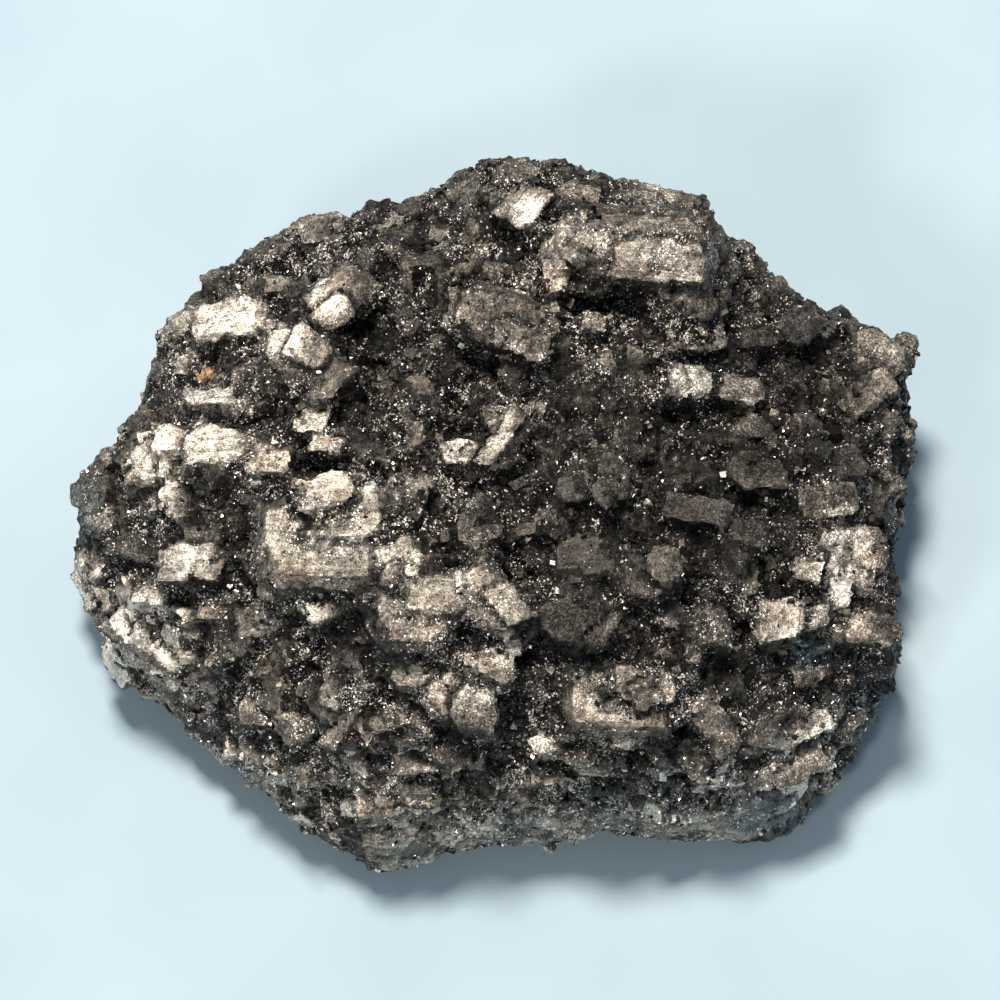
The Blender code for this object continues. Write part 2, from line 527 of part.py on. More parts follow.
def grow_flank(mesh, chance):
    """The crystals of the back and sides, in uneven rows."""
    for start, end, down, count in FLANK_ROWS:
        for number in range(count):
            spot = start + (end - start) * (number + chance.uniform(0.2, 0.8)) / count
            angle = math.radians(spot)
            depth = down + chance.uniform(-0.03, 0.03)
            out = mass_normal(angle, depth)
            axis = out.lerp(Vector((0, 0, 1)), chance.uniform(*FLANK_UPRIGHT)).normalized()
            wide = chance.uniform(*FLANK_WIDE)
            deep = wide * chance.uniform(*FLANK_DEEP)
            top = mass_point(angle, depth) + axis * chance.uniform(*FLANK_RISE)
            heading = angle + math.radians(90 + chance.uniform(-FLANK_TURN, FLANK_TURN))
            grow(mesh, top, axis, heading, wide, deep, BURIED + 1.5, chance)


def to_object(mesh, name, collection):
    """Turns a mesh in mm into an object in metres, with the specimen's middle at the origin."""
    bmesh.ops.translate(mesh, vec=(-BOX_MIDDLE[0], -BOX_MIDDLE[1], 0.0), verts=mesh.verts)
    bmesh.ops.scale(mesh, vec=(MM, MM, MM), verts=mesh.verts)
    data = bpy.data.meshes.new(name)
    mesh.to_mesh(data)
    mesh.free()
    thing = bpy.data.objects.new(name, data)
    collection.objects.link(thing)
    return thing


def new_collection(name):
    """A collection in the scene."""
    collection = bpy.data.collections.new(name)
    bpy.context.scene.collection.children.link(collection)
    return collection


def manganite_material():
    """Steel-grey to black, submetallic, satin."""
    material = bpy.data.materials.new("manganite")
    material.use_nodes = True
    shader = material.node_tree.nodes["Principled BSDF"]
    shader.inputs["Base Color"].default_value = (0.17, 0.155, 0.145, 1.0)
    shader.inputs["Metallic"].default_value = 0.75
    shader.inputs["Roughness"].default_value = 0.42
    return material


def fuse(body, crystals):
    """Joins the crystals to the mass and to each other, in triangles."""
    joint = body.modifiers.new("grown together", "BOOLEAN")
    joint.operation = "UNION"
    joint.solver = "EXACT"
    joint.use_self = True
    joint.object = crystals
    seen = body.evaluated_get(bpy.context.evaluated_depsgraph_get())
    joined = bpy.data.meshes.new_from_object(seen)
    body.modifiers.remove(joint)
    mesh = bmesh.new()
    mesh.from_mesh(joined)
    bmesh.ops.triangulate(mesh, faces=mesh.faces)
    mesh.to_mesh(body.data)
    mesh.free()
    bpy.data.meshes.remove(joined)


def build_specimen():
    """The whole specimen, as one object."""
    clear_scene()
    specimen = new_collection("manganite_specimen")
    guides = new_collection("guides")
    chance = random.Random(SEED)
    body = to_object(build_mass(), "manganite_cluster", specimen)
    crystal_mesh = bmesh.new()
    places = grow_display(crystal_mesh, chance)
    grow_small(crystal_mesh, places, chance)
    grow_flank(crystal_mesh, chance)
    crystals = to_object(crystal_mesh, "loose_crystals", guides)
    crystals.hide_render = True
    crystals.display_type = "WIRE"
    bpy.context.view_layer.update()
    fuse(body, crystals)
    body.data.materials.append(manganite_material())


build_specimen()
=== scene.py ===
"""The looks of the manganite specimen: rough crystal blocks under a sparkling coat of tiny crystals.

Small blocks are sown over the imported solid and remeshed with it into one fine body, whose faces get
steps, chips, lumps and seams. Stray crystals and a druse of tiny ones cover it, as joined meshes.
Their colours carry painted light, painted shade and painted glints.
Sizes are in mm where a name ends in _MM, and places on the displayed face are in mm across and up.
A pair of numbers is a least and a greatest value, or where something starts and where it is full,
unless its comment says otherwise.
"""

import math
from collections import namedtuple

import bmesh
import bpy
import numpy as np
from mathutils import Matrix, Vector, noise
from mathutils.bvhtree import BVHTree


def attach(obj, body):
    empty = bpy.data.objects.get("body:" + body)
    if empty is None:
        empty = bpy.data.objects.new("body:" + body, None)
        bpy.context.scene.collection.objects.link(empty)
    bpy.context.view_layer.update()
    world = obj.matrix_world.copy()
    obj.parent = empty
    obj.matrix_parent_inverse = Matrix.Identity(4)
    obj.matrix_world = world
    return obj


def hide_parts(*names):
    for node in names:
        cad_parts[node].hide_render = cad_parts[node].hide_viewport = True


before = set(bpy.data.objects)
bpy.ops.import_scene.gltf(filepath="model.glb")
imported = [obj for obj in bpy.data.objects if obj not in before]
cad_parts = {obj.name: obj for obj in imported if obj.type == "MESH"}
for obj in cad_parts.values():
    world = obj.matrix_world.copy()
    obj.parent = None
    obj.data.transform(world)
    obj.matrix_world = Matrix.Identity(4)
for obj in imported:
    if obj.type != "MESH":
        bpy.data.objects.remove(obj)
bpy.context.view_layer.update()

MM = 0.001
SEED = 11

# The displayed face, square to the camera's line of sight
TILT = math.radians(62)
SIGHT = Vector((0.0, -math.cos(TILT), math.sin(TILT)))  # from the specimen to the camera
DISPLAY_CENTRE = Vector((0.3, 0.0, 12.0)) * MM
FRAME_WIDTH = 0.1  # what the camera sees across, in metres

# Body
VOXEL_MM = 0.5
CRISPNESS = 0.9  # how far the fine body's rounded edges go back to the solid's sharp ones
FLATNESS = 0.7  # how far a crystal face is shaded as flat
BASE_MM = 0.1  # faces that look down from no higher than this are the base
STRAIGHT_DOWN = -0.999  # z of a direction that counts as down
WELD_MM = 0.002  # corners no further apart than this are one
SAME_FACET = 0.998  # two faces whose directions agree this closely are one facet
STAND_ROUNDS = 110  # rounds of easing that leave the mass without its crystals
EDGE_ROUNDS = 5  # rounds of easing, and one more, that only take the edges off
PROUD_ROUNDS = 6  # rounds of easing that take the finest finished relief off
SKY_RAYS = 18
SKY_REACH_MM = 6.0
SKY_START_MM = 0.12  # how far off the surface a ray starts
SKY_SPREAD = 0.9  # the rays rise from 1, straight out, down to 1 less this

# Where the body is what: a value's start, and where it counts in full
UPWARD = (0.1, 0.85)  # how far a face looks up
OPEN = (0.3, 0.95)  # share of its sky that a place sees
CRYSTAL_STAND = (-0.45, 0.35)  # height over the eased mass, in mm
CRYSTAL_AREA = (2.0, 6.0)  # of a facet, in square mm
STEEP_FINISH_AND_SHADE = (0.7, 0.3)  # finish of a steep crystal face, and what looking up adds; the same share paints steep faces darker, a painted shade
COATED_FINISH = (0.35, 0.65)  # finish of a coated crystal face, and what being clean adds
BARE = (-0.55, -0.15)  # of the noise that leaves some crystal faces clean
LOW_STAND = (-0.9, 0.1)  # height over the eased mass under which the coat thickens
SHOWN = (-0.1, 0.3)  # how far a face is turned to the viewer
FLANK_DOWN = (20.0, 28.0)  # how far down the displayed face the lower flank lies
CLUSTERS = (-0.45, 0.4)  # of the noise that gathers the painted glints

# Relief of the body
NOISES = {  # size in mm, and where in the noise the field is read
    "warp": (3.1, 5.0), "lumps": (2.3, 11.0), "small": (1.15, 23.0), "fine": (0.62, 31.0),
    "bare": (3.6, 47.0), "clusters": (2.6, 61.0), "chips": (1.5, 71.0), "elsewhere": (7.0, 83.0),
}
WARP_MM = 0.6  # how far the noise shifts the cells and the finer noise
STEP_MM = 1.9  # width of the stepped cells on crystal faces
HEAP_MM = 3.0  # width of the heaped cells on the rough ground between them
CELL_SLOPE = 0.8
SEAM_SHARPNESS = 4.0
CELL_RISE, CELL_LEAN, CELL_TONE = 7.31, 5.17, 3.71  # tell a cell's own numbers apart
TOP_RELIEF = {"lumps": 0.16, "steps": 0.2, "step_seam": -0.13, "small": 0.15, "fine": 0.12}
ROUGH_RELIEF = {"lumps": 0.28, "small": 0.26, "fine": 0.2, "heap": 0.55, "heap_seam": -0.55}
TOP_SEAM = 0.4  # how much a seam between steps counts
CHIP_MM = 0.35  # how deep the edges are chipped
CHIPPED_EDGE = (0.02, 0.08)  # how sharp an edge is, in mm over the eased one
CHIPPED_PLACE = (0.0, 0.45)  # of the noise that chips some edges only
FOOT_MM = 1.5  # the relief fades out below this height

# How light the body's colour is: its own tones, with painted light and painted shade
LEAST_SHADE = 0.018
CRYSTAL_SHADE = 0.13
SMALL_BLOCK_SHADE = 0.085
# painted light: what the lighter patches add, and how sharply
PATCH_SHADE, PATCH_POWER = 0.76, 1.4
ROUGH_SHADE = 0.2  # by each heap's own tone
FLANK_PAINTED_LIGHT = (0.16, 0.95, 0.3)  # painted light on the lower flank: everywhere, by each heap's own tone, and on small blocks
FLANK_POWER = 1.3
ELSEWHERE = (0.1, 0.5)  # of the noise that sets the lighter places out of the viewer's sight
ELSEWHERE_SHADE = 0.55
CLOSED_SHADE = 0.3  # painted shade: what is left of the lightness where no sky is seen
HOLLOW_SHADE = 0.85  # painted shade: what a hollow takes of the lightness
SEAM_SHADE = 0.7  # painted shade: what a seam takes of the lightness
PROUD_SHADE, PROUD_MM = 0.5, (0.03, 0.15)  # painted highlight: what a proud place gains, and how proud it is
SUNK_SHADE, SUNK_MM = 0.6, (0.02, 0.14)  # painted shade: what a sunken place loses, and how deep it is
EDGE_SHADE = 0.5  # painted highlight: what a sharp edge gains for each mm that it stands out
EDGE_MM = (0.02, 0.12)  # where that starts, and how much of it counts at most
EDGE_LEAST = 0.3  # of that painted highlight, outside the lighter places
MOST_SHADE = 1.5  # more than 1 still tells after the material's own dark noise
FACET_TONE = (0.55, 0.9)  # the least, and what chance adds
FACET_POWER = (1.6, 0.6)  # on steep faces, and how much less on those that look up
STEEP_TONE = 0.6  # painted shade: what is left of the tone on steep faces
PAINTED_SPARKLE_SHARE = (0.38, 0.1)  # painted glints: everywhere, and what the flank adds
CLEAN = 0.7  # how much fewer painted glints a crystal face or a seam gets

# Small crystal blocks that crowd the gaps and the flanks, part of the fine body
SMALL_BLOCKS = 900
SMALL_BLOCK_MM = (1.2, 4.0)
SMALL_BLOCK_BIAS = 1.6  # higher gives more narrow ones
SMALL_BLOCK_SINK = 0.12  # of the width
SMALL_BLOCK_LEAN = 0.4
SMALL_BLOCK_STRETCH = (0.5, 0.95)  # height against width
SMALL_BLOCK_SLANT = 0.3
SMALL_BLOCK_PAINTED_SHINE = 2.6  # painted highlight: how much brighter the few faces painted as catching the light are
SMALL_BLOCK_DULL = 3  # higher gives fewer of those
SMALL_BLOCK_CRISP = 0.85  # how much of a crystal face's finish they have
SMALL_BLOCK_BARE = 0.55  # how clean of small crystals they are
SOWING_VOXEL_MM = 1.0
SOWING_ROUNDS = 28  # rounds of easing that show where the gaps are
SOWING_STAND = (-0.5, 0.5)  # height over the eased shape at which a gap ends
SOWN_EVERYWHERE = 0.04  # chance of a block on high ground, against 1 in a gap

# Every small crystal
LONG_SIDE = (0.8, 1.2)  # of its width
SHORT_SIDE = (0.5, 1.0)  # of its width
TAPER = (0.02, 0.3)
SKEW = 0.25
SCATTER_FOOT_MM = 1.0  # crystals get rarer below this height, and the base has none
WIDTH_BIAS = 1.7  # higher gives more narrow ones
OWN_TONE, OWN_TONE_POWER = 2.4, 1.6  # times the body's shade; higher power gives more dark ones
PAINTED_SHINE_SHADE = (0.6, 1.0)  # painted glints: shade of the few that are painted as shining
FACET_SPREAD = (0.6, 1.4)
KEPT_BARE = 0.85  # how much rarer they are on crystal faces
RUST_BARE = 1.15  # how clean of them the rust-brown fleck is

# Kinds of small crystal: count; width in mm; lean of the axis; height against width; slant of the
# top; how deep it sinks, of the width; its own shade and its share of the body's; how many are
# painted as shining, a painted glint; chance of one on open ground; and how strictly crystal faces
# are kept clean of it
Kind = namedtuple("Kind", "count widths lean stretch slant sink tone shining anywhere strict")
FILLER = Kind(1100, (0.8, 1.5), 0.42, (0.6, 1.1), 0.35, 0.25, (0.04, 0.9), 0.0, 0.1, 2)
COARSE = Kind(15000, (0.25, 0.65), 0.55, (0.6, 1.2), 0.4, 0.15, (0.01, 0.7), 0.012, 0.15, 1)
FINE = Kind(64000, (0.15, 0.46), 0.6, (0.5, 1.1), 0.3, 0.05, (0.005, 0.7), 0.5, 0.25, 1)
FINE_PIECES = 3

# Painted light: lighter places of the displayed face, where light falls: across, up, half-width,
# half-height, strength
PAINTED_LIGHT_PATCHES = [
    # painted highlights on crystal tops that shine
    (-26.5, 17.8, 3.8, 2.4, 1.15), (-31.5, 16.5, 3.0, 2.8, 0.8), (-21.2, 15.7, 2.6, 1.7, 1.0),
    (-17.1, 19.7, 2.2, 2.0, 0.9), (-28.2, 10.1, 2.4, 1.3, 1.0), (-28.0, 5.8, 2.8, 2.6, 1.25),
    (-33.0, 4.2, 3.4, 3.0, 1.15), (-16.9, 1.6, 2.8, 1.4, 0.75), (-17.2, -10.6, 1.4, 1.3, 1.0),
    (5.5, 24.0, 1.1, 3.6, 0.9), (15.5, 30.2, 1.8, 1.1, 1.0), (18.5, 21.0, 1.8, 1.7, 0.9),
    (2.8, 28.6, 1.5, 1.7, 0.9), (33.2, -5.6, 2.8, 4.4, 1.2), (27.4, -11.8, 2.7, 2.4, 0.26),
    (-0.5, -15.0, 2.7, 1.2, 0.9), (4.4, -23.3, 1.8, 1.0, 0.9), (15.7, -19.5, 1.0, 2.2, 1.0),
    (31.2, -22.0, 2.8, 2.1, 0.9), (-3.1, -7.3, 1.3, 1.0, 0.9), (-9.5, -5.8, 2.6, 1.9, 0.7),
    (-0.2, 6.4, 1.2, 3.2, 0.9), (-3.8, 4.8, 1.5, 1.5, 0.8), (-22.0, 3.6, 2.2, 2.0, 0.9),
    (-17.7, 6.9, 2.3, 2.4, 0.8), (37.8, 14.5, 3.0, 1.8, 0.4), (-2.0, -32.5, 2.2, 1.6, 0.8),
    (-16.7, -33.3, 1.2, 0.9, 0.7), (-23.2, -28.2, 2.4, 1.8, 0.7), (21.0, -31.0, 1.2, 0.9, 0.7),
    (24.6, -31.2, 1.2, 0.9, 0.6),
    # lower ones near the front edge
    (-37.6, -16.6, 4.2, 3.2, 2.6), (-11.5, -33.4, 3.4, 1.8, 0.6), (-4.5, -29.6, 2.0, 1.6, 0.6),
    (2.4, -27.6, 2.4, 1.6, 0.6), (16.5, -31.6, 4.4, 1.8, 0.8), (-14.0, -29.4, 1.3, 1.6, 0.7),
    (-30.5, -19.0, 3.0, 2.0, 0.9), (-22.5, -19.0, 3.4, 2.0, 0.4), (-26.5, -25.0, 3.4, 1.6, 0.45),
    (-40.5, -13.5, 2.0, 3.4, 0.7),
    # broad ones, painted as lit beige
    (-17.4, -2.8, 6.4, 3.6, 0.4), (-8.0, -9.8, 3.6, 2.8, 0.28), (-3.3, -17.8, 3.4, 2.6, 0.55),
    (11.5, -20.5, 4.6, 4.0, 0.22), (-32.0, -12.6, 3.0, 2.4, 0.6), (-35.1, -15.3, 5.6, 6.4, 1.7),
    (-30.0, -5.9, 3.6, 2.1, 0.6), (18.5, 11.8, 2.2, 2.0, 0.6), (23.8, 9.2, 2.4, 3.0, 0.55),
    (13.3, 23.3, 7.3, 3.4, 0.6), (33.0, -11.5, 2.6, 2.4, 0.5), (22.8, -32.0, 3.4, 1.8, 1.5),
    (28.8, -26.3, 5.6, 3.9, 0.38), (-1.0, -9.4, 3.6, 2.6, 0.42), (-38.8, -0.2, 2.6, 3.0, 0.15),
    (-41.5, -8.5, 2.4, 3.4, 1.1), (-22.5, -12.0, 2.4, 2.0, 0.45), (-12.8, 2.5, 2.4, 2.0, 0.55),
    (-2.5, 2.0, 2.2, 2.2, 0.4), (-7.5, -17.2, 2.4, 2.4, 0.5), (-33.4, 1.4, 2.8, 2.4, 1.1),
    (-8.0, -27.0, 2.4, 2.0, 0.5), (6.6, -31.8, 4.0, 2.4, 0.95),
]

# Painted shade: dark, hollow places where shade falls, in the same terms
SHADED_HOLLOWS = [
    (-29.3, 0.3, 4.4, 2.0, 0.75), (1.3, 17.8, 3.4, 2.4, 0.6), (28.5, 10.0, 9.5, 11.0, 0.7),
    (-13.5, 14.8, 4.0, 2.4, 0.8), (10.0, 21.5, 4.5, 2.4, 0.7), (19.0, -4.5, 3.6, 2.6, 0.7),
    (2.0, -4.5, 2.6, 2.0, 0.7), (22.2, -16.6, 3.0, 2.8, 0.95), (28.5, -19.2, 5.0, 3.0, 0.6),
    (33.0, 14.0, 3.0, 2.4, 0.8), (-14.0, -12.5, 3.4, 3.2, 0.85), (-26.0, -5.0, 1.6, 5.5, 0.45),
    (-15.0, -33.0, 2.4, 2.0, 0.8), (-4.0, -28.0, 2.6, 2.4, 0.6), (-8.5, 27.0, 3.5, 6.0, 0.35),
    (8.0, -1.0, 6.0, 12.0, 0.82), (21.5, 1.5, 9.5, 7.0, 0.85), (17.5, -7.0, 3.4, 3.0, 0.9),
    (38.5, -12.0, 3.0, 2.4, 0.8), (-8.0, 12.0, 3.0, 3.0, 0.75), (6.0, -12.8, 5.0, 3.4, 0.88),
    (17.0, -23.5, 2.6, 2.4, 0.85), (-13.0, 9.0, 3.0, 3.4, 0.6), (-7.5, 7.5, 2.8, 2.6, 0.5),
    (-3.0, 21.5, 3.0, 3.0, 0.45), (13.0, -5.0, 4.0, 5.0, 0.8), (15.5, 5.5, 5.0, 5.0, 0.8),
    (12.5, 12.5, 2.6, 2.6, 0.5), (-2.5, 26.5, 2.4, 2.6, 0.45), (0.0, 32.0, 4.0, 2.6, 0.3),
    (-2.5, -23.0, 2.4, 2.0, 0.5),
]

# Blue-green spots on faces turned to the viewer, in the same terms
BLUE_GREEN_SPOTS = [
    (26.0, -31.5, 5.0, 2.6, 1.0), (36.6, -20.4, 2.4, 3.2, 0.9), (1.0, -32.0, 2.0, 1.6, 0.8),
    (30.0, -15.0, 2.6, 1.5, 1.0), (14.0, -30.0, 7.0, 4.0, 0.5), (-29.0, -21.0, 1.5, 1.5, 0.6),
    (-22.5, 2.0, 2.0, 1.0, 0.7), (-9.0, -34.0, 2.0, 1.6, 0.6), (-41.0, -1.0, 2.0, 3.0, 0.5),
]

PATCH_EDGE, PATCH_SOFTNESS = 1.35, 0.7  # where a patch ends, and how softly, of its half-size

FLECK = (-29.0, 12.4, 0.95, 0.65)  # one rust-brown fleck: across, up, half-width, half-height
FLECK_EDGE, FLECK_SHARPNESS = 1.2, 2.0

# Materials
BLOTCH_MM, GRAIN_MM, SPECK_MM, TINT_MM = 2.4, 0.45, 0.14, 6.0
GLINT_MM = 0.16  # width of the tiny cells that turn the surface their own way, some of which carry a painted glint
PAINTED_GLINT_SHARPNESS = 9.0
GLITTER, SMALL_GLITTER = 0.45, 0.5  # how unevenly the cells face, on the body and on the strays
LINES_PER_MM = 2.2  # striations along the crystals
LINE_BEND_MM = 3.5
ROCK_TONES = [
    (0.0, (0.010, 0.0093, 0.0085)), (0.2, (0.135, 0.116, 0.097)),
    (0.6, (0.33, 0.29, 0.245)), (1.0, (0.60, 0.55, 0.48)),
]
ROCK_TINTS = [(0.38, (1.03, 0.99, 0.93)), (0.62, (0.95, 0.98, 0.99))]
BLUE_GREEN_COLOUR = (0.07, 0.11, 0.125)
PAINTED_GLINT_COLOUR = (0.55, 0.5, 0.45)
RUST_COLOURS = ((0.26, 0.12, 0.05), (0.45, 0.27, 0.15))
DRUSE_TONES = [
    (0.0, (0.006, 0.0058, 0.0055)), (0.3, (0.11, 0.096, 0.082)),
    (0.7, (0.42, 0.37, 0.32)), (1.0, (0.85, 0.8, 0.74)),
]
DRUSE_GRAIN_MM = 0.3
FLOOR_TONES = [(0.3, (0.208, 0.264, 0.298)), (0.7, (0.235, 0.293, 0.325))]
FLOOR_BLOTCH_MM = 30.0
FLOOR_WIDTH = 3.0  # in metres

chance = np.random.default_rng(SEED)
amount = 1.0


# ---------------------------------------------------------------- numbers and fields

def display_places(points):
    """Where points, in metres, are seen on the displayed face, in mm across and up."""
    gone = (points - np.array(DISPLAY_CENTRE)) / MM
    return gone[:, 0], gone[:, 1] * math.sin(TILT) + gone[:, 2] * math.cos(TILT)


def patch_field(points, patches):
    """Strongest of the soft-edged patches at each point."""
    across, up = display_places(points)
    most = np.zeros(len(points))
    for at, high, half_width, half_height, strength in patches:
        away = np.sqrt(((across - at) / half_width) ** 2 + ((up - high) / half_height) ** 2)
        share = np.clip((PATCH_EDGE - away) / PATCH_SOFTNESS, 0.0, 1.0)
        most = np.maximum(most, strength * share)
    return most


def noise_field(points, name):
    """One of the smooth noise fields, about -1 to 1, at points in metres."""
    size_mm, offset = NOISES[name]
    scale = 1.0 / (size_mm * MM)
    out = np.empty(len(points))
    for index, place in enumerate(points):
        out[index] = noise.noise(Vector((
            place[0] * scale + offset, place[1] * scale, place[2] * scale
        )))
    return out


def unit(vectors):
    """Vectors, one to a row, at length 1."""
    return vectors / np.maximum(np.linalg.norm(vectors, axis=1), 1e-9)[:, None]


def smoothstep(value, low, high):
    """0 up to low, 1 from high on, and an even ease between."""
    share = np.clip((value - low) / (high - low), 0.0, 1.0)
    return share * share * (3.0 - 2.0 * share)


# ---------------------------------------------------------------- the body

def remeshed(source, voxel):
    """A copy of the solid in even, small faces."""
    copy = source.copy()
    copy.data = source.data.copy()
    bpy.context.scene.collection.objects.link(copy)
    weld = copy.modifiers.new("weld", "WELD")
    weld.merge_threshold = 1e-6
    even = copy.modifiers.new("even", "REMESH")
    even.mode = "VOXEL"
    even.voxel_size = voxel
    seen = copy.evaluated_get(bpy.context.evaluated_depsgraph_get())
    mesh = bpy.data.meshes.new_from_object(seen)
    bpy.data.objects.remove(copy)
    plain_base(mesh)
    return mesh


def plain_base(mesh):
    """The flat base in a few large faces."""
    fine = bmesh.new()
    fine.from_mesh(mesh)
    fine.normal_update()
    under = {
        face for face in fine.faces
        if face.normal.z < STRAIGHT_DOWN and face.calc_center_median().z < BASE_MM * MM
    }
    inner = [edge for edge in fine.edges if all(face in under for face in edge.link_faces)]
    middle = [vert for vert in fine.verts if all(face in under for face in vert.link_faces)]
    bmesh.ops.dissolve_limit(
        fine, angle_limit=math.radians(2), use_dissolve_boundaries=False,
        verts=middle, edges=inner,
    )
    fine.to_mesh(mesh)
    fine.free()


def mesh_arrays(mesh):
    """Corner places and smooth directions of a mesh's vertices."""
    places = np.empty(len(mesh.vertices) * 3)
    mesh.vertices.foreach_get("co", places)
    normals = np.empty(len(mesh.vertices) * 3)
    mesh.vertices.foreach_get("normal", normals)
    return places.reshape(-1, 3), normals.reshape(-1, 3)


def triangles_of(mesh):
    """Vertex numbers of each triangle."""
    mesh.calc_loop_triangles()
    found = np.empty(len(mesh.loop_triangles) * 3, dtype=np.int64)
    mesh.loop_triangles.foreach_get("vertices", found)
    return found.reshape(-1, 3)


def sky_seen(places, normals, tree):
    """Share of rays from each place, over its own side, that leave the specimen's relief."""
    ways = []
    turn = math.pi * (3.0 - math.sqrt(5.0))
    for number in range(SKY_RAYS):
        rise = 1.0 - SKY_SPREAD * (number + 0.5) / SKY_RAYS
        flat = math.sqrt(1.0 - rise * rise)
        ways.append((flat * math.cos(turn * number), flat * math.sin(turn * number), rise))
    reach = SKY_REACH_MM * MM
    seen = np.zeros(len(places))
    for index in range(len(places)):
        normal = Vector(normals[index])
        start = Vector(places[index]) + normal * (SKY_START_MM * MM)
        spin = normal.to_track_quat("Z", "Y")
        open_ways = 0
        for way in ways:
            if tree.ray_cast(start, spin @ Vector(way), reach)[0] is None:
                open_ways += 1
        seen[index] = open_ways / SKY_RAYS
    return seen


def edges_of(mesh):
    """Vertex numbers of each edge."""
    found = np.empty(len(mesh.edges) * 2, dtype=np.int64)
    mesh.edges.foreach_get("vertices", found)
    return found.reshape(-1, 2)


def eased(values, edges, rounds):
    """Values, one row for each vertex, averaged with their neighbours' again and again."""
    count = len(values)
    degree = np.bincount(edges[:, 0], minlength=count) + np.bincount(edges[:, 1], minlength=count)
    values = values.reshape(count, -1).copy()
    for _ in range(rounds):
        total = np.empty_like(values)
        for column in range(values.shape[1]):
            of_first = values[edges[:, 0], column]
            of_second = values[edges[:, 1], column]
            total[:, column] = np.bincount(edges[:, 0], of_second, count)
            total[:, column] += np.bincount(edges[:, 1], of_first, count)
        values = 0.5 * values + 0.5 * total / degree[:, None]
    return values


def stand_of(places, normals, edges, rounds):
    """How far each place stands out from the eased shape, in mm."""
    return ((places - eased(places, edges, rounds)) * normals).sum(axis=1) / MM


def face_regions(places, corners, own):
    """Each face's facet, and each facet's area in square mm and the direction of its longest edge.

    The faces from number own on are the small blocks', two to a side.
    """
    keys = {}
    welded = np.empty(len(places), dtype=np.int64)
    for index, place in enumerate(np.round(places / (WELD_MM * MM)).astype(np.int64)):
        welded[index] = keys.setdefault(tuple(place), len(keys))
    a, b, c = places[corners[:, 0]], places[corners[:, 1]], places[corners[:, 2]]
    cross = np.cross(b - a, c - a)
    area = np.linalg.norm(cross, axis=1) / 2
    facing = cross / np.maximum(2 * area, 1e-15)[:, None]
    parent = list(range(len(corners)))

    def top_of(item):
        while parent[item] != item:
            parent[item] = parent[parent[item]]
            item = parent[item]
        return item

    sides = {}
    pairs = []
    for index, face in enumerate(welded[corners]):
        for first, second in ((0, 1), (1, 2), (2, 0)):
            key = (min(face[first], face[second]), max(face[first], face[second]))
            if key in sides:
                other = sides[key]
                pairs.append((index, other, corners[index][first], corners[index][second]))
                if facing[index] @ facing[other] > SAME_FACET:
                    parent[top_of(index)] = top_of(other)
            else:
                sides[key] = index
    for index in range(own, len(corners), 2):
        parent[top_of(index)] = top_of(index + 1)
    regions = np.array([top_of(index) for index in range(len(corners))])
    areas = np.bincount(regions, area, len(corners)) / MM**2
    longest = np.zeros((len(corners), 3))
    for face, other, first, second in pairs:
        if regions[face] == regions[other]:
            continue
        line = places[second] - places[first]
        for region in (regions[face], regions[other]):
            if line @ line > longest[region] @ longest[region]:
                longest[region] = line
    return regions, areas, unit(longest)


def angular_cells(places, size_mm):
    """Squarish tilted cells: their height and own tone, and how near a place is to a seam."""
    rise = np.empty(len(places))
    seam = np.empty(len(places))
    tone = np.empty(len(places))
    for index, place in enumerate(places):
        at = Vector(place) / (size_mm * MM)
        near, spots = noise.voronoi(at, distance_metric="CHEBYCHEV")
        slope = noise.cell_vector(spots[0] * CELL_LEAN)
        rise[index] = noise.cell(spots[0] * CELL_RISE) + CELL_SLOPE * slope.dot(at - spots[0])
        seam[index] = 1.0 - min(1.0, (near[1] - near[0]) * SEAM_SHARPNESS)
        tone[index] = abs(noise.cell(spots[0] * CELL_TONE))
    return rise, seam, tone


def relief(places, crisp):
    """Height to add at each place, in metres, how much of a seam it is, and its heap's tone."""
    warp = noise_field(places, "warp")
    warped = places + np.stack([warp, -warp, 0.5 * warp], axis=1) * (WARP_MM * MM)
    steps, step_seam, _ = angular_cells(warped, STEP_MM)
    heap, heap_seam, heap_tone = angular_cells(warped, HEAP_MM)
    forms = {
        "lumps": noise_field(places, "lumps"), "small": noise_field(warped, "small"),
        "fine": noise_field(warped, "fine"), "steps": steps, "step_seam": step_seam,
        "heap": heap, "heap_seam": heap_seam,
    }
    top = sum(share * forms[name] for name, share in TOP_RELIEF.items())
    rough = sum(share * forms[name] for name, share in ROUGH_RELIEF.items())
    height = crisp * top + (1.0 - crisp) * rough
    seam = crisp * TOP_SEAM * step_seam + (1.0 - crisp) * heap_seam
    return height * MM, seam, heap_tone


def set_attribute(mesh, name, values):
    """One number for each vertex, for the materials to read."""
    layer = mesh.attributes.new(name, "FLOAT", "POINT")
    layer.data.foreach_set("value", values.astype(np.float32))


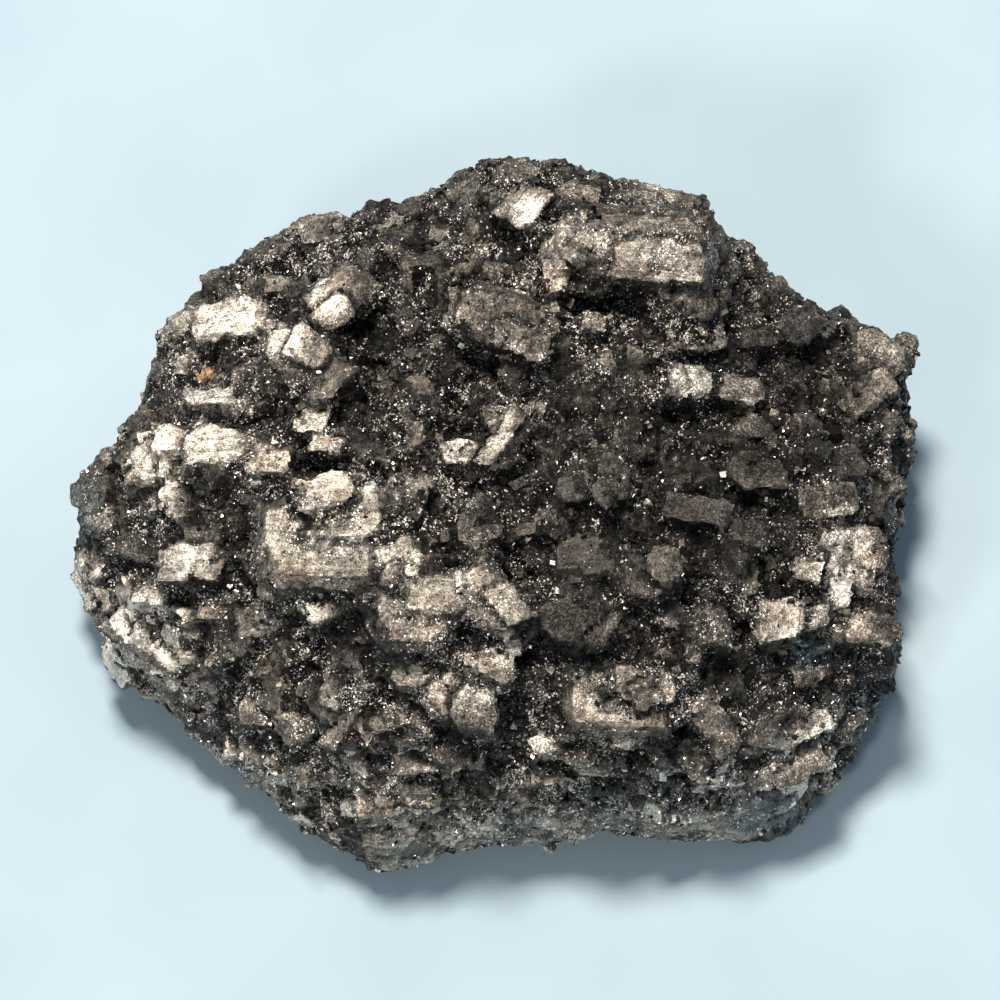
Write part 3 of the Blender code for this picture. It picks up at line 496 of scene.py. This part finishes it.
def facet_looks(mesh, solid_tree, regions, region_tone, crisp):
    """Each face gets its facet's tone with painted shade on steep faces; crystal faces look flat
    right up to their edges.
    """
    count = len(mesh.polygons)
    middles = np.empty(count * 3)
    mesh.polygons.foreach_get("center", middles)
    facing = np.empty((count, 3))
    tone = np.empty(count)
    for index, middle in enumerate(middles.reshape(-1, 3)):
        _, normal, face, _ = solid_tree.find_nearest(Vector(middle))
        facing[index] = normal
        tone[index] = region_tone[regions[face]]
    layer = mesh.attributes.new("facet", "FLOAT", "FACE")
    rise = smoothstep(facing[:, 2], *UPWARD)
    tone_with_steep_shade = (FACET_TONE[0] + FACET_TONE[1] * tone) ** (FACET_POWER[0] - FACET_POWER[1] * rise)
    tone_with_steep_shade = (STEEP_TONE + (1.0 - STEEP_TONE) * rise) * tone_with_steep_shade
    layer.data.foreach_set("value", tone_with_steep_shade.astype(np.float32))
    corners = np.empty(len(mesh.loops), dtype=np.int64)
    mesh.loops.foreach_get("vertex_index", corners)
    sizes = np.empty(count, dtype=np.int64)
    mesh.polygons.foreach_get("loop_total", sizes)
    _, smooth = mesh_arrays(mesh)
    flat = FLATNESS * crisp[corners][:, None]
    mixed = unit((1.0 - flat) * smooth[corners] + flat * np.repeat(facing, sizes, axis=0))
    mesh.normals_split_custom_set(mixed)


def nearest_facets(places, tree, regions, areas, longest, own):
    """The solid's nearest point to each place, its direction, and what its facet is like."""
    count = len(places)
    onto, facets = np.empty((count, 3)), np.empty((count, 3))
    added, facet_area, grain = np.empty(count), np.empty(count), np.empty(count)
    for index, place in enumerate(places):
        onto[index], normal, face, _ = tree.find_nearest(Vector(place))
        facets[index] = normal
        added[index] = face >= own
        facet_area[index] = areas[regions[face]]
        grain[index] = Vector(longest[regions[face]]).cross(normal).dot(onto[index]) / MM
    return onto, facets, added, facet_area, grain


def body_shade(places, normals, edges, now):
    """How light each place is, from what it is and how its finished relief stands, with painted light
    and shade.
    """
    block, added, heap, flank, patches = (
        now[name] for name in ("block", "added", "heap", "flank", "patches")
    )
    shade = LEAST_SHADE + CRYSTAL_SHADE * block + SMALL_BLOCK_SHADE * added * (1.0 - block)
    shade = shade + PATCH_SHADE * patches**PATCH_POWER
    # painted light on the lower flank, which faces the front and down
    everywhere, by_heap, on_small = FLANK_PAINTED_LIGHT
    flank_painted_light = everywhere + by_heap * heap**FLANK_POWER + on_small * added
    shade += (1.0 - now["crisp"]) * heap**2 * ROUGH_SHADE + flank * flank_painted_light
    # painted shade where little sky is seen, in hollows and in seams
    shade *= (
        (CLOSED_SHADE + (1.0 - CLOSED_SHADE) * now["open"])
        * (1.0 - HOLLOW_SHADE * now["hollows"]) * (1.0 - SEAM_SHADE * now["seam"])
    )
    # painted highlights on proud places and painted shade in sunken ones
    proud = stand_of(places, normals, edges, PROUD_ROUNDS)
    proud_highlight = PROUD_SHADE * smoothstep(proud, *PROUD_MM)
    shade *= 1.0 + proud_highlight - SUNK_SHADE * smoothstep(-proud, *SUNK_MM)
    # painted highlights on sharp edges
    start, most = EDGE_MM
    shade += EDGE_SHADE * np.clip(now["edge"] - start, 0.0, most) * (EDGE_LEAST + patches)
    return shade


def make_body(crowded, own):
    """The fine body, with its relief and what its material reads, and what its coat reads."""
    mesh = remeshed(crowded, VOXEL_MM * MM * (1.0))
    mesh.name = "manganite_body"
    places, normals = mesh_arrays(mesh)
    edges = edges_of(mesh)
    solid_places, _ = mesh_arrays(crowded.data)
    solid_corners = triangles_of(crowded.data)
    solid_tree = BVHTree.FromPolygons(
        [Vector(p) for p in solid_places], [tuple(int(i) for i in t) for t in solid_corners]
    )
    regions, areas, longest = face_regions(solid_places, solid_corners, own)
    region_tone = chance.uniform(0.0, 1.0, len(areas))
    # painted highlights: a few small-block faces are painted as catching the light
    region_tone[own:] = SMALL_BLOCK_PAINTED_SHINE * region_tone[own:] ** SMALL_BLOCK_DULL
    onto, facets, added, facet_area, grain = nearest_facets(
        places, solid_tree, regions, areas, longest, own
    )
    stand = stand_of(places, normals, edges, int(STAND_ROUNDS * amount))
    edge = stand_of(places, normals, edges, int(EDGE_ROUNDS * amount) + 1)
    sky_open = smoothstep(sky_seen(onto, facets, solid_tree), *OPEN)

    # crystal faces, and how far the rest has their finish, with painted shade on steep ones
    places = places + CRISPNESS * (onto - places)
    facing = smoothstep(facets[:, 2], *UPWARD)
    bare = smoothstep(noise_field(places, "bare"), *BARE)
    block = smoothstep(stand, *CRYSTAL_STAND) * smoothstep(facet_area, *CRYSTAL_AREA)
    steep, looking_up = STEEP_FINISH_AND_SHADE
    coated, clear = COATED_FINISH
    block *= (steep + looking_up * facing) * (coated + clear * bare)
    block = eased(block, edges, 1)[:, 0]
    added = eased(added, edges, 1)[:, 0]
    crisp = np.maximum(block, SMALL_BLOCK_CRISP * added)

    height, seam, heap = relief(places, crisp)
    chips = smoothstep(edge, *CHIPPED_EDGE)
    chips = chips * smoothstep(noise_field(places, "chips"), *CHIPPED_PLACE)
    height -= CHIP_MM * MM * chips
    away = np.clip(places[:, 2] / (FOOT_MM * MM), 0.0, 1.0)
    places = places + normals * (height * away)[:, None]
    places[:, 2] = np.maximum(places[:, 2], 0.0)
    mesh.vertices.foreach_set("co", places.ravel())
    mesh.update()

    shown = smoothstep(facets @ np.array(SIGHT), *SHOWN)
    elsewhere = ELSEWHERE_SHADE * smoothstep(noise_field(places, "elsewhere"), *ELSEWHERE)
    # painted shade in the dark hollows of the displayed face
    hollows = shown * patch_field(places, SHADED_HOLLOWS)
    across, up = display_places(places)
    flank = smoothstep(-up, *FLANK_DOWN) * (1.0 - facing)
    shade = body_shade(places, normals, edges, {
        "block": block, "added": added, "crisp": crisp, "heap": heap, "flank": flank, "edge": edge,
        # painted light on faces turned to the viewer; out of its sight, lighter tone at random
        "patches": shown * patch_field(places, PAINTED_LIGHT_PATCHES) + (1.0 - shown) * elsewhere,
        "open": sky_open, "hollows": hollows, "seam": seam,
    })
    fleck = ((across - FLECK[0]) / FLECK[2]) ** 2 + ((up - FLECK[1]) / FLECK[3]) ** 2
    rust = np.clip(FLECK_SHARPNESS * (FLECK_EDGE - fleck), 0.0, 1.0)
    # painted glints, gathered in clusters and fewer in the painted-shade hollows
    clusters = smoothstep(noise_field(places, "clusters"), *CLUSTERS) * (1.0 - hollows)
    painted_sparkle = (PAINTED_SPARKLE_SHARE[0] + PAINTED_SPARKLE_SHARE[1] * flank) * clusters
    painted_sparkle = painted_sparkle * (1.0 - CLEAN * block) * (1.0 - CLEAN * seam)
    set_attribute(mesh, "shade", np.clip(shade, 0.0, MOST_SHADE))
    set_attribute(mesh, "grain", grain)
    set_attribute(mesh, "rust", rust)
    set_attribute(mesh, "blue_green_share", shown * patch_field(places, BLUE_GREEN_SPOTS))
    set_attribute(mesh, "painted_sparkle", painted_sparkle)
    mesh.shade_smooth()
    facet_looks(mesh, solid_tree, regions, region_tone, crisp)
    body = bpy.data.objects.new("manganite_body", mesh)
    bpy.context.scene.collection.objects.link(body)
    gap = 1.0 - sky_open * smoothstep(stand, *LOW_STAND)
    clean = np.maximum(np.maximum(block, SMALL_BLOCK_BARE * added), RUST_BARE * rust)
    return body, {"gap": gap, "clean": clean, "shade": shade, "painted_sparkle": clusters}


# ---------------------------------------------------------------- small crystals

# A square-edged block and a three-sided point, both open underneath, and the block's underside
BOX_POINTS = np.array([
    (-0.5, -0.5, -0.6), (0.5, -0.5, -0.6), (0.5, 0.5, -0.6), (-0.5, 0.5, -0.6),
    (-0.5, -0.5, 0.5), (0.5, -0.5, 0.5), (0.5, 0.5, 0.5), (-0.5, 0.5, 0.5),
])
BOX_FACES = np.array([
    (4, 5, 6), (4, 6, 7), (0, 1, 5), (0, 5, 4), (1, 2, 6), (1, 6, 5),
    (2, 3, 7), (2, 7, 6), (3, 0, 4), (3, 4, 7),
])
BOX_BASE = np.array([(0, 2, 1), (0, 3, 2)])
PEAK_POINTS = np.array([
    (-0.5, -0.3, -0.3), (0.5, -0.3, -0.3), (0.0, 0.6, -0.3), (0.0, 0.0, 0.5),
])
PEAK_FACES = np.array([(0, 1, 3), (1, 2, 3), (2, 0, 3)])


def scatter(mesh, weights, count):
    """Places, directions and nearest vertices of points on a mesh, dense where it weighs more."""
    places, normals = mesh_arrays(mesh)
    corners = triangles_of(mesh)
    a, b, c = places[corners[:, 0]], places[corners[:, 1]], places[corners[:, 2]]
    area = np.linalg.norm(np.cross(b - a, c - a), axis=1) / 2
    weights = weights * np.clip(places[:, 2] / (SCATTER_FOOT_MM * MM), 0.0, 1.0)
    worth = area * weights[corners].min(axis=1)
    total = np.cumsum(worth)
    chosen = np.searchsorted(total, chance.random(count) * total[-1])
    chosen = np.minimum(chosen, len(corners) - 1)
    first = np.sqrt(chance.random(count))
    second = chance.random(count)
    shares = np.stack([1 - first, first * (1 - second), first * second], axis=1)
    picked = corners[chosen]
    where = (places[picked] * shares[:, :, None]).sum(axis=1)
    towards = (normals[picked] * shares[:, :, None]).sum(axis=1)
    towards /= np.linalg.norm(towards, axis=1)[:, None]
    near = picked[np.arange(count), shares.argmax(axis=1)]
    return where, towards, near


def crystals(name, where, towards, widths, lean, points, faces, stretch, slant):
    """One mesh of many small crystals that stand at the places given."""
    count = len(where)
    axis = unit(towards + chance.normal(0, lean, (count, 3)))
    side = unit(np.cross(axis, unit(chance.normal(0, 1, (count, 3)))))
    other = np.cross(axis, side)
    size = np.stack([
        widths * chance.uniform(*LONG_SIDE, count),
        widths * chance.uniform(*SHORT_SIDE, count),
        widths * chance.uniform(*stretch, count),
    ], axis=1)
    local = np.repeat(points[None, :, :], count, axis=0)
    above = (points[:, 2] > 0).astype(float)[None, :]
    taper = 1.0 - above * chance.uniform(*TAPER, (count, 1))
    local[:, :, 0] *= taper
    local[:, :, 1] *= taper
    local[:, :, 0] += chance.uniform(-SKEW, SKEW, (count, 1)) * local[:, :, 1]
    tip_x = chance.uniform(-slant, slant, (count, 1))
    tip_y = chance.uniform(-slant, slant, (count, 1))
    local[:, :, 2] += above * (tip_x * local[:, :, 0] + tip_y * local[:, :, 1])
    local *= size[:, None, :]
    world = (
        local[:, :, 0:1] * side[:, None, :]
        + local[:, :, 1:2] * other[:, None, :]
        + local[:, :, 2:3] * axis[:, None, :]
        + where[:, None, :]
    )
    world = world.reshape(-1, 3)
    world[:, 2] = np.maximum(world[:, 2], 0.0)
    per = len(points)
    index = (faces[None, :, :] + (np.arange(count) * per)[:, None, None]).reshape(-1, 3)
    mesh = bpy.data.meshes.new(name)
    mesh.vertices.add(len(world))
    mesh.vertices.foreach_set("co", world.ravel())
    mesh.loops.add(index.size)
    mesh.loops.foreach_set("vertex_index", index.ravel())
    mesh.polygons.add(len(index))
    mesh.polygons.foreach_set("loop_start", np.arange(0, index.size, 3))
    mesh.update(calc_edges=True)
    mesh.shade_flat()
    thing = bpy.data.objects.new(name, mesh)
    bpy.context.scene.collection.objects.link(thing)
    return thing


def crowd(node):
    """The solid with small blocks that crowd its gaps and flanks, and how many faces are its own."""
    mesh = remeshed(node, SOWING_VOXEL_MM * MM)
    places, normals = mesh_arrays(mesh)
    stand = stand_of(places, normals, edges_of(mesh), SOWING_ROUNDS)
    low = 1.0 - smoothstep(stand, *SOWING_STAND)
    where, towards, _ = scatter(mesh, SOWN_EVERYWHERE + low, SMALL_BLOCKS)
    least, most = SMALL_BLOCK_MM
    widths = (least + (most - least) * chance.random(SMALL_BLOCKS) ** SMALL_BLOCK_BIAS) * MM
    where = where - towards * (widths * SMALL_BLOCK_SINK)[:, None]
    small = crystals(
        "small_blocks", where, towards, widths, SMALL_BLOCK_LEAN, BOX_POINTS,
        np.concatenate([BOX_FACES, BOX_BASE]), SMALL_BLOCK_STRETCH, SMALL_BLOCK_SLANT,
    )
    own_places, _ = mesh_arrays(node.data)
    own_corners = triangles_of(node.data)
    more_places, _ = mesh_arrays(small.data)
    more_corners = triangles_of(small.data) + len(own_places)
    both = bpy.data.meshes.new("crowded")
    both.from_pydata(
        np.concatenate([own_places, more_places]).tolist(), [],
        np.concatenate([own_corners, more_corners]).tolist(),
    )
    bpy.data.objects.remove(small)
    crowded = bpy.data.objects.new("crowded", both)
    bpy.context.scene.collection.objects.link(crowded)
    return crowded, len(own_corners)


# ---------------------------------------------------------------- materials

class Nodes:
    """Short ways to build a node tree."""

    # the colour mix's sockets, among those that the node has for every kind of mix
    SHARE, FIRST, SECOND, MIXED = 0, 6, 7, 2

    def __init__(self, name):
        self.material = bpy.data.materials.new(name)
        self.material.use_nodes = True
        self.tree = self.material.node_tree
        self.shader = self.tree.nodes["Principled BSDF"]
        self.place = self.add("ShaderNodeTexCoord").outputs["Object"]

    def add(self, kind, **settings):
        """A new node, with its settings."""
        node = self.tree.nodes.new(kind)
        for key, value in settings.items():
            setattr(node, key, value)
        return node

    def link(self, source, target):
        self.tree.links.new(source, target)

    def read(self, name):
        """A number that the mesh carries."""
        node = self.add("ShaderNodeAttribute", attribute_name=name)
        return node.outputs["Fac"]

    def maths(self, operation, first, second, clamp=False):
        """Two numbers or sockets joined into one."""
        node = self.add("ShaderNodeMath", operation=operation, use_clamp=clamp)
        for socket, value in zip(node.inputs, (first, second)):
            if isinstance(value, (int, float)):
                socket.default_value = value
            else:
                self.link(value, socket)
        return node.outputs[0]

    def noise(self, size_mm, detail, roughness=0.6, distortion=0.0):
        """Noise in the object's own space, about 0.5 in the middle."""
        node = self.add("ShaderNodeTexNoise")
        node.inputs["Scale"].default_value = 1.0 / (size_mm * MM)
        node.inputs["Detail"].default_value = detail
        node.inputs["Roughness"].default_value = roughness
        node.inputs["Distortion"].default_value = distortion
        self.link(self.place, node.inputs["Vector"])
        return node.outputs["Fac"]

    def striations(self):
        """Uneven lines that run along each facet's longest edge."""
        node = self.add("ShaderNodeTexNoise", noise_dimensions="2D")
        node.inputs["Scale"].default_value = 1.0
        node.inputs["Detail"].default_value = 3.0
        node.inputs["Roughness"].default_value = 0.7
        place = self.add("ShaderNodeCombineXYZ")
        self.link(self.maths("MULTIPLY", self.read("grain"), LINES_PER_MM), place.inputs[0])
        self.link(self.noise(LINE_BEND_MM, 2.0), place.inputs[1])
        self.link(place.outputs[0], node.inputs["Vector"])
        return node.outputs["Fac"]

    def ramp(self, value, stops):
        """A colour or a grey from a number, eased evenly between the stops."""
        node = self.add("ShaderNodeValToRGB")
        ramp = node.color_ramp
        while len(ramp.elements) < len(stops):
            ramp.elements.new(0.5)
        for element, (at, colour) in zip(ramp.elements, stops):
            element.position = at
            if isinstance(colour, (int, float)):
                colour = (colour, colour, colour)
            element.color = (*colour, 1.0)
        self.link(value, node.inputs["Fac"])
        return node.outputs["Color"]

    def mix(self, share, first, second, way="MIX"):
        """Two colours joined into one."""
        node = self.add("ShaderNodeMix", data_type="RGBA", blend_type=way)
        for number, value in ((self.SHARE, share), (self.FIRST, first), (self.SECOND, second)):
            socket = node.inputs[number]
            if isinstance(value, (int, float)):
                socket.default_value = value
            elif isinstance(value, tuple):
                socket.default_value = (*value, 1.0)
            else:
                self.link(value, socket)
        return node.outputs[self.MIXED]

    def cells(self, size_mm):
        """Tiny cells: each one's own direction, and its own number from 0 to 1."""
        cell = self.add("ShaderNodeTexVoronoi")
        cell.inputs["Scale"].default_value = 1.0 / (size_mm * MM)
        self.link(self.place, cell.inputs["Vector"])
        middle = self.add("ShaderNodeVectorMath", operation="SUBTRACT")
        self.link(cell.outputs["Color"], middle.inputs[0])
        middle.inputs[1].default_value = (0.5, 0.5, 0.5)
        own = self.add("ShaderNodeTexWhiteNoise")
        self.link(cell.outputs["Color"], own.inputs["Vector"])
        return middle.outputs[0], own.outputs["Value"]

    def glitter(self, direction, strength, bumped):
        """The surface's direction, turned a little its own way in each tiny cell."""
        scaled = self.add("ShaderNodeVectorMath", operation="SCALE")
        self.link(direction, scaled.inputs[0])
        scaled.inputs["Scale"].default_value = strength
        total = self.add("ShaderNodeVectorMath", operation="ADD")
        self.link(scaled.outputs[0], total.inputs[0])
        self.link(bumped, total.inputs[1])
        even = self.add("ShaderNodeVectorMath", operation="NORMALIZE")
        self.link(total.outputs[0], even.inputs[0])
        return even.outputs[0]

    def bump(self, height, strength, distance_mm, normal=None):
        """The surface's direction over a fine relief, on top of another if one is given."""
        node = self.add("ShaderNodeBump")
        node.inputs["Strength"].default_value = strength
        node.inputs["Distance"].default_value = distance_mm * MM
        self.link(height, node.inputs["Height"])
        if normal is not None:
            self.link(normal, node.inputs["Normal"])
        return node.outputs["Normal"]


def rock_material(name, glitter):
    """Submetallic and finely grained; its colour carries painted light and shade, satin beige-grey
    where lit and black in the gaps, and painted glints.
    """
    n = Nodes(name)
    shade = n.maths("MULTIPLY", n.read("shade"), n.read("facet"))
    blotch = n.noise(BLOTCH_MM, 3.0, 0.62, 0.3)
    grain = n.noise(GRAIN_MM, 3.0, 0.7)
    speck = n.noise(SPECK_MM, 2.0, 0.7)
    mottle = n.ramp(blotch, [(0.3, 0.3), (0.5, 0.85), (0.68, 1.35)])
    tone = n.maths("MULTIPLY", shade, mottle)
    fine = n.ramp(grain, [(0.36, 0.45), (0.5, 0.95), (0.64, 1.4)])
    tone = n.maths("MULTIPLY", tone, fine)
    dust = n.ramp(speck, [(0.36, 0.5), (0.5, 0.95), (0.64, 1.5)])
    tone = n.maths("MULTIPLY", tone, dust)
    lines = n.striations()
    tone = n.maths("MULTIPLY", tone, n.ramp(lines, [(0.35, 0.72), (0.6, 1.12)]), clamp=True)
    colour = n.ramp(tone, ROCK_TONES)
    colour = n.mix(1.0, colour, n.ramp(n.noise(TINT_MM, 2.0), ROCK_TINTS), "MULTIPLY")
    blue_green_share = n.maths("MULTIPLY", n.read("blue_green_share"), n.ramp(grain, [(0.4, 0.0), (0.6, 0.9)]))
    colour = n.mix(blue_green_share, colour, BLUE_GREEN_COLOUR)
    # painted glints: some tiny cells are painted the glint colour
    direction, own = n.cells(GLINT_MM)
    share = n.maths("MULTIPLY", n.read("painted_sparkle"), n.ramp(speck, [(0.4, 0.0), (0.6, 1.5)]))
    painted_glint = n.maths("MULTIPLY", n.maths("SUBTRACT", share, own), PAINTED_GLINT_SHARPNESS, clamp=True)
    colour = n.mix(painted_glint, colour, PAINTED_GLINT_COLOUR)
    colour = n.mix(n.read("rust"), colour, n.mix(dust, *RUST_COLOURS))
    n.link(colour, n.shader.inputs["Base Color"])
    n.shader.inputs["Metallic"].default_value = 0.85
    rough = n.ramp(speck, [(0.3, 0.36), (0.7, 0.6)])
    n.link(rough, n.shader.inputs["Roughness"])
    low = n.bump(blotch, 0.5, 0.3)
    mid = n.bump(grain, 0.7, 0.14, low)
    mid = n.bump(lines, 0.6, 0.12, mid)
    high = n.bump(speck, 0.6, 0.05, mid)
    n.link(n.glitter(direction, glitter, high), n.shader.inputs["Normal"])
    return n.material


def druse_material():
    """Tiny bright-faced crystals, each with its own tone on top of the body's painted light and
    shade.
    """
    n = Nodes("manganite_druse")
    grain = n.noise(DRUSE_GRAIN_MM, 3.0, 0.6)
    share = n.maths("MULTIPLY", n.read("shade"), n.ramp(grain, [(0.3, 0.5), (0.7, 1.3)]), clamp=True)
    colour = n.ramp(share, DRUSE_TONES)
    n.link(colour, n.shader.inputs["Base Color"])
    n.shader.inputs["Metallic"].default_value = 0.35
    n.shader.inputs["Specular IOR Level"].default_value = 0.25
    rough = n.ramp(grain, [(0.3, 0.16), (0.7, 0.36)])
    n.link(rough, n.shader.inputs["Roughness"])
    return n.material


def floor_material():
    """Plain and pale, with broad faint blotches."""
    n = Nodes("floor_cloth")
    colour = n.ramp(n.noise(FLOOR_BLOTCH_MM, 2.0, 0.5), FLOOR_TONES)
    n.link(colour, n.shader.inputs["Base Color"])
    n.shader.inputs["Roughness"].default_value = 0.95
    return n.material


# ---------------------------------------------------------------- the specimen

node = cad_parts["manganite_cluster"]
crowded, own = crowd(node)
body, field = make_body(crowded, own)
bpy.data.objects.remove(crowded)
body.data.materials.clear()
body.data.materials.append(rock_material("manganite", GLITTER))

pieces = [body]


def dress(name, kind, points, faces, material):
    """One joined mesh of small crystals over the body."""
    count = int(kind.count * amount)
    weights = (kind.anywhere + field["gap"]) * (1.0 - KEPT_BARE * field["clean"]) ** kind.strict
    where, towards, near = scatter(body.data, weights, count)
    least, most = kind.widths
    widths = (least + (most - least) * chance.random(count) ** WIDTH_BIAS) * MM
    where = where - towards * (widths * kind.sink)[:, None]
    thing = crystals(
        name, where, towards, widths, kind.lean, points, faces, kind.stretch, kind.slant
    )
    base, by_shade = kind.tone
    shade = base + by_shade * field["shade"][near]
    shade = shade * OWN_TONE * chance.random(count) ** OWN_TONE_POWER
    # painted glints: a few crystals are painted bright as if catching the light
    shining = chance.random(count) < kind.shining * field["painted_sparkle"][near]
    shade = np.where(shining, chance.uniform(*PAINTED_SHINE_SHADE, count), shade)
    facet = chance.uniform(*FACET_SPREAD, count)
    set_attribute(thing.data, "shade", np.repeat(np.clip(shade, 0.0, 1.0), len(points)))
    set_attribute(thing.data, "facet", np.repeat(facet, len(points)))
    thing.data.materials.append(material)
    pieces.append(thing)


small_look = rock_material("manganite_small", SMALL_GLITTER)
druse_look = druse_material()
dress("filler_crystals", FILLER, BOX_POINTS, BOX_FACES, small_look)
dress("druse_coarse", COARSE, BOX_POINTS, BOX_FACES, druse_look)
for number in range(FINE_PIECES):
    dress(f"druse_fine_{number + 1}", FINE, PEAK_POINTS, PEAK_FACES, druse_look)

for piece in pieces:
    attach(piece, "root")
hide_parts("manganite_cluster")

# ---------------------------------------------------------------- floor, light and camera

bpy.ops.mesh.primitive_plane_add(size=FLOOR_WIDTH, location=(0, 0, 0))
floor = bpy.context.object
floor.name = "floor"
floor.data.materials.append(floor_material())


def area_light(name, direction, *, distance, size, power, colour):
    """A square lamp that looks at the middle of the specimen; metres and watts."""
    lamp = bpy.data.lights.new(name, "AREA")
    lamp.shape = "SQUARE"
    lamp.size = size
    lamp.energy = power
    lamp.color = colour
    thing = bpy.data.objects.new(name, lamp)
    bpy.context.scene.collection.objects.link(thing)
    way = Vector(direction).normalized()
    thing.location = DISPLAY_CENTRE + way * distance
    thing.rotation_euler = way.to_track_quat("Z", "Y").to_euler()


def way_to(azimuth, elevation):
    """Direction to a lamp, from degrees; azimuth 0 is the front, 90 the right and 180 the back."""
    turn, rise = math.radians(azimuth), math.radians(elevation)
    return (math.sin(turn) * math.cos(rise), -math.cos(turn) * math.cos(rise), math.sin(rise))


area_light(
    "key", way_to(214, 79), distance=0.9, size=0.17, power=20.5, colour=(1.0, 0.94, 0.86)
)
area_light(
    "fill", way_to(-28, 40), distance=1.2, size=0.16, power=7.0, colour=(1.0, 0.97, 0.93)
)
world = bpy.data.worlds.new("studio")
world.use_nodes = True
world.node_tree.nodes["Background"].inputs["Color"].default_value = (0.64, 0.82, 1.0, 1.0)
world.node_tree.nodes["Background"].inputs["Strength"].default_value = 0.57
bpy.context.scene.world = world

view = bpy.data.cameras.new("camera")
view.sensor_width = 36.0
view.lens = 200.0
view.clip_start = 0.01
camera = bpy.data.objects.new("camera", view)
bpy.context.scene.collection.objects.link(camera)
camera.location = DISPLAY_CENTRE + SIGHT * (FRAME_WIDTH * view.lens / view.sensor_width)
camera.rotation_euler = SIGHT.to_track_quat("Z", "Y").to_euler()
bpy.context.scene.camera = camera
bpy.context.scene.view_settings.view_transform = "Standard"
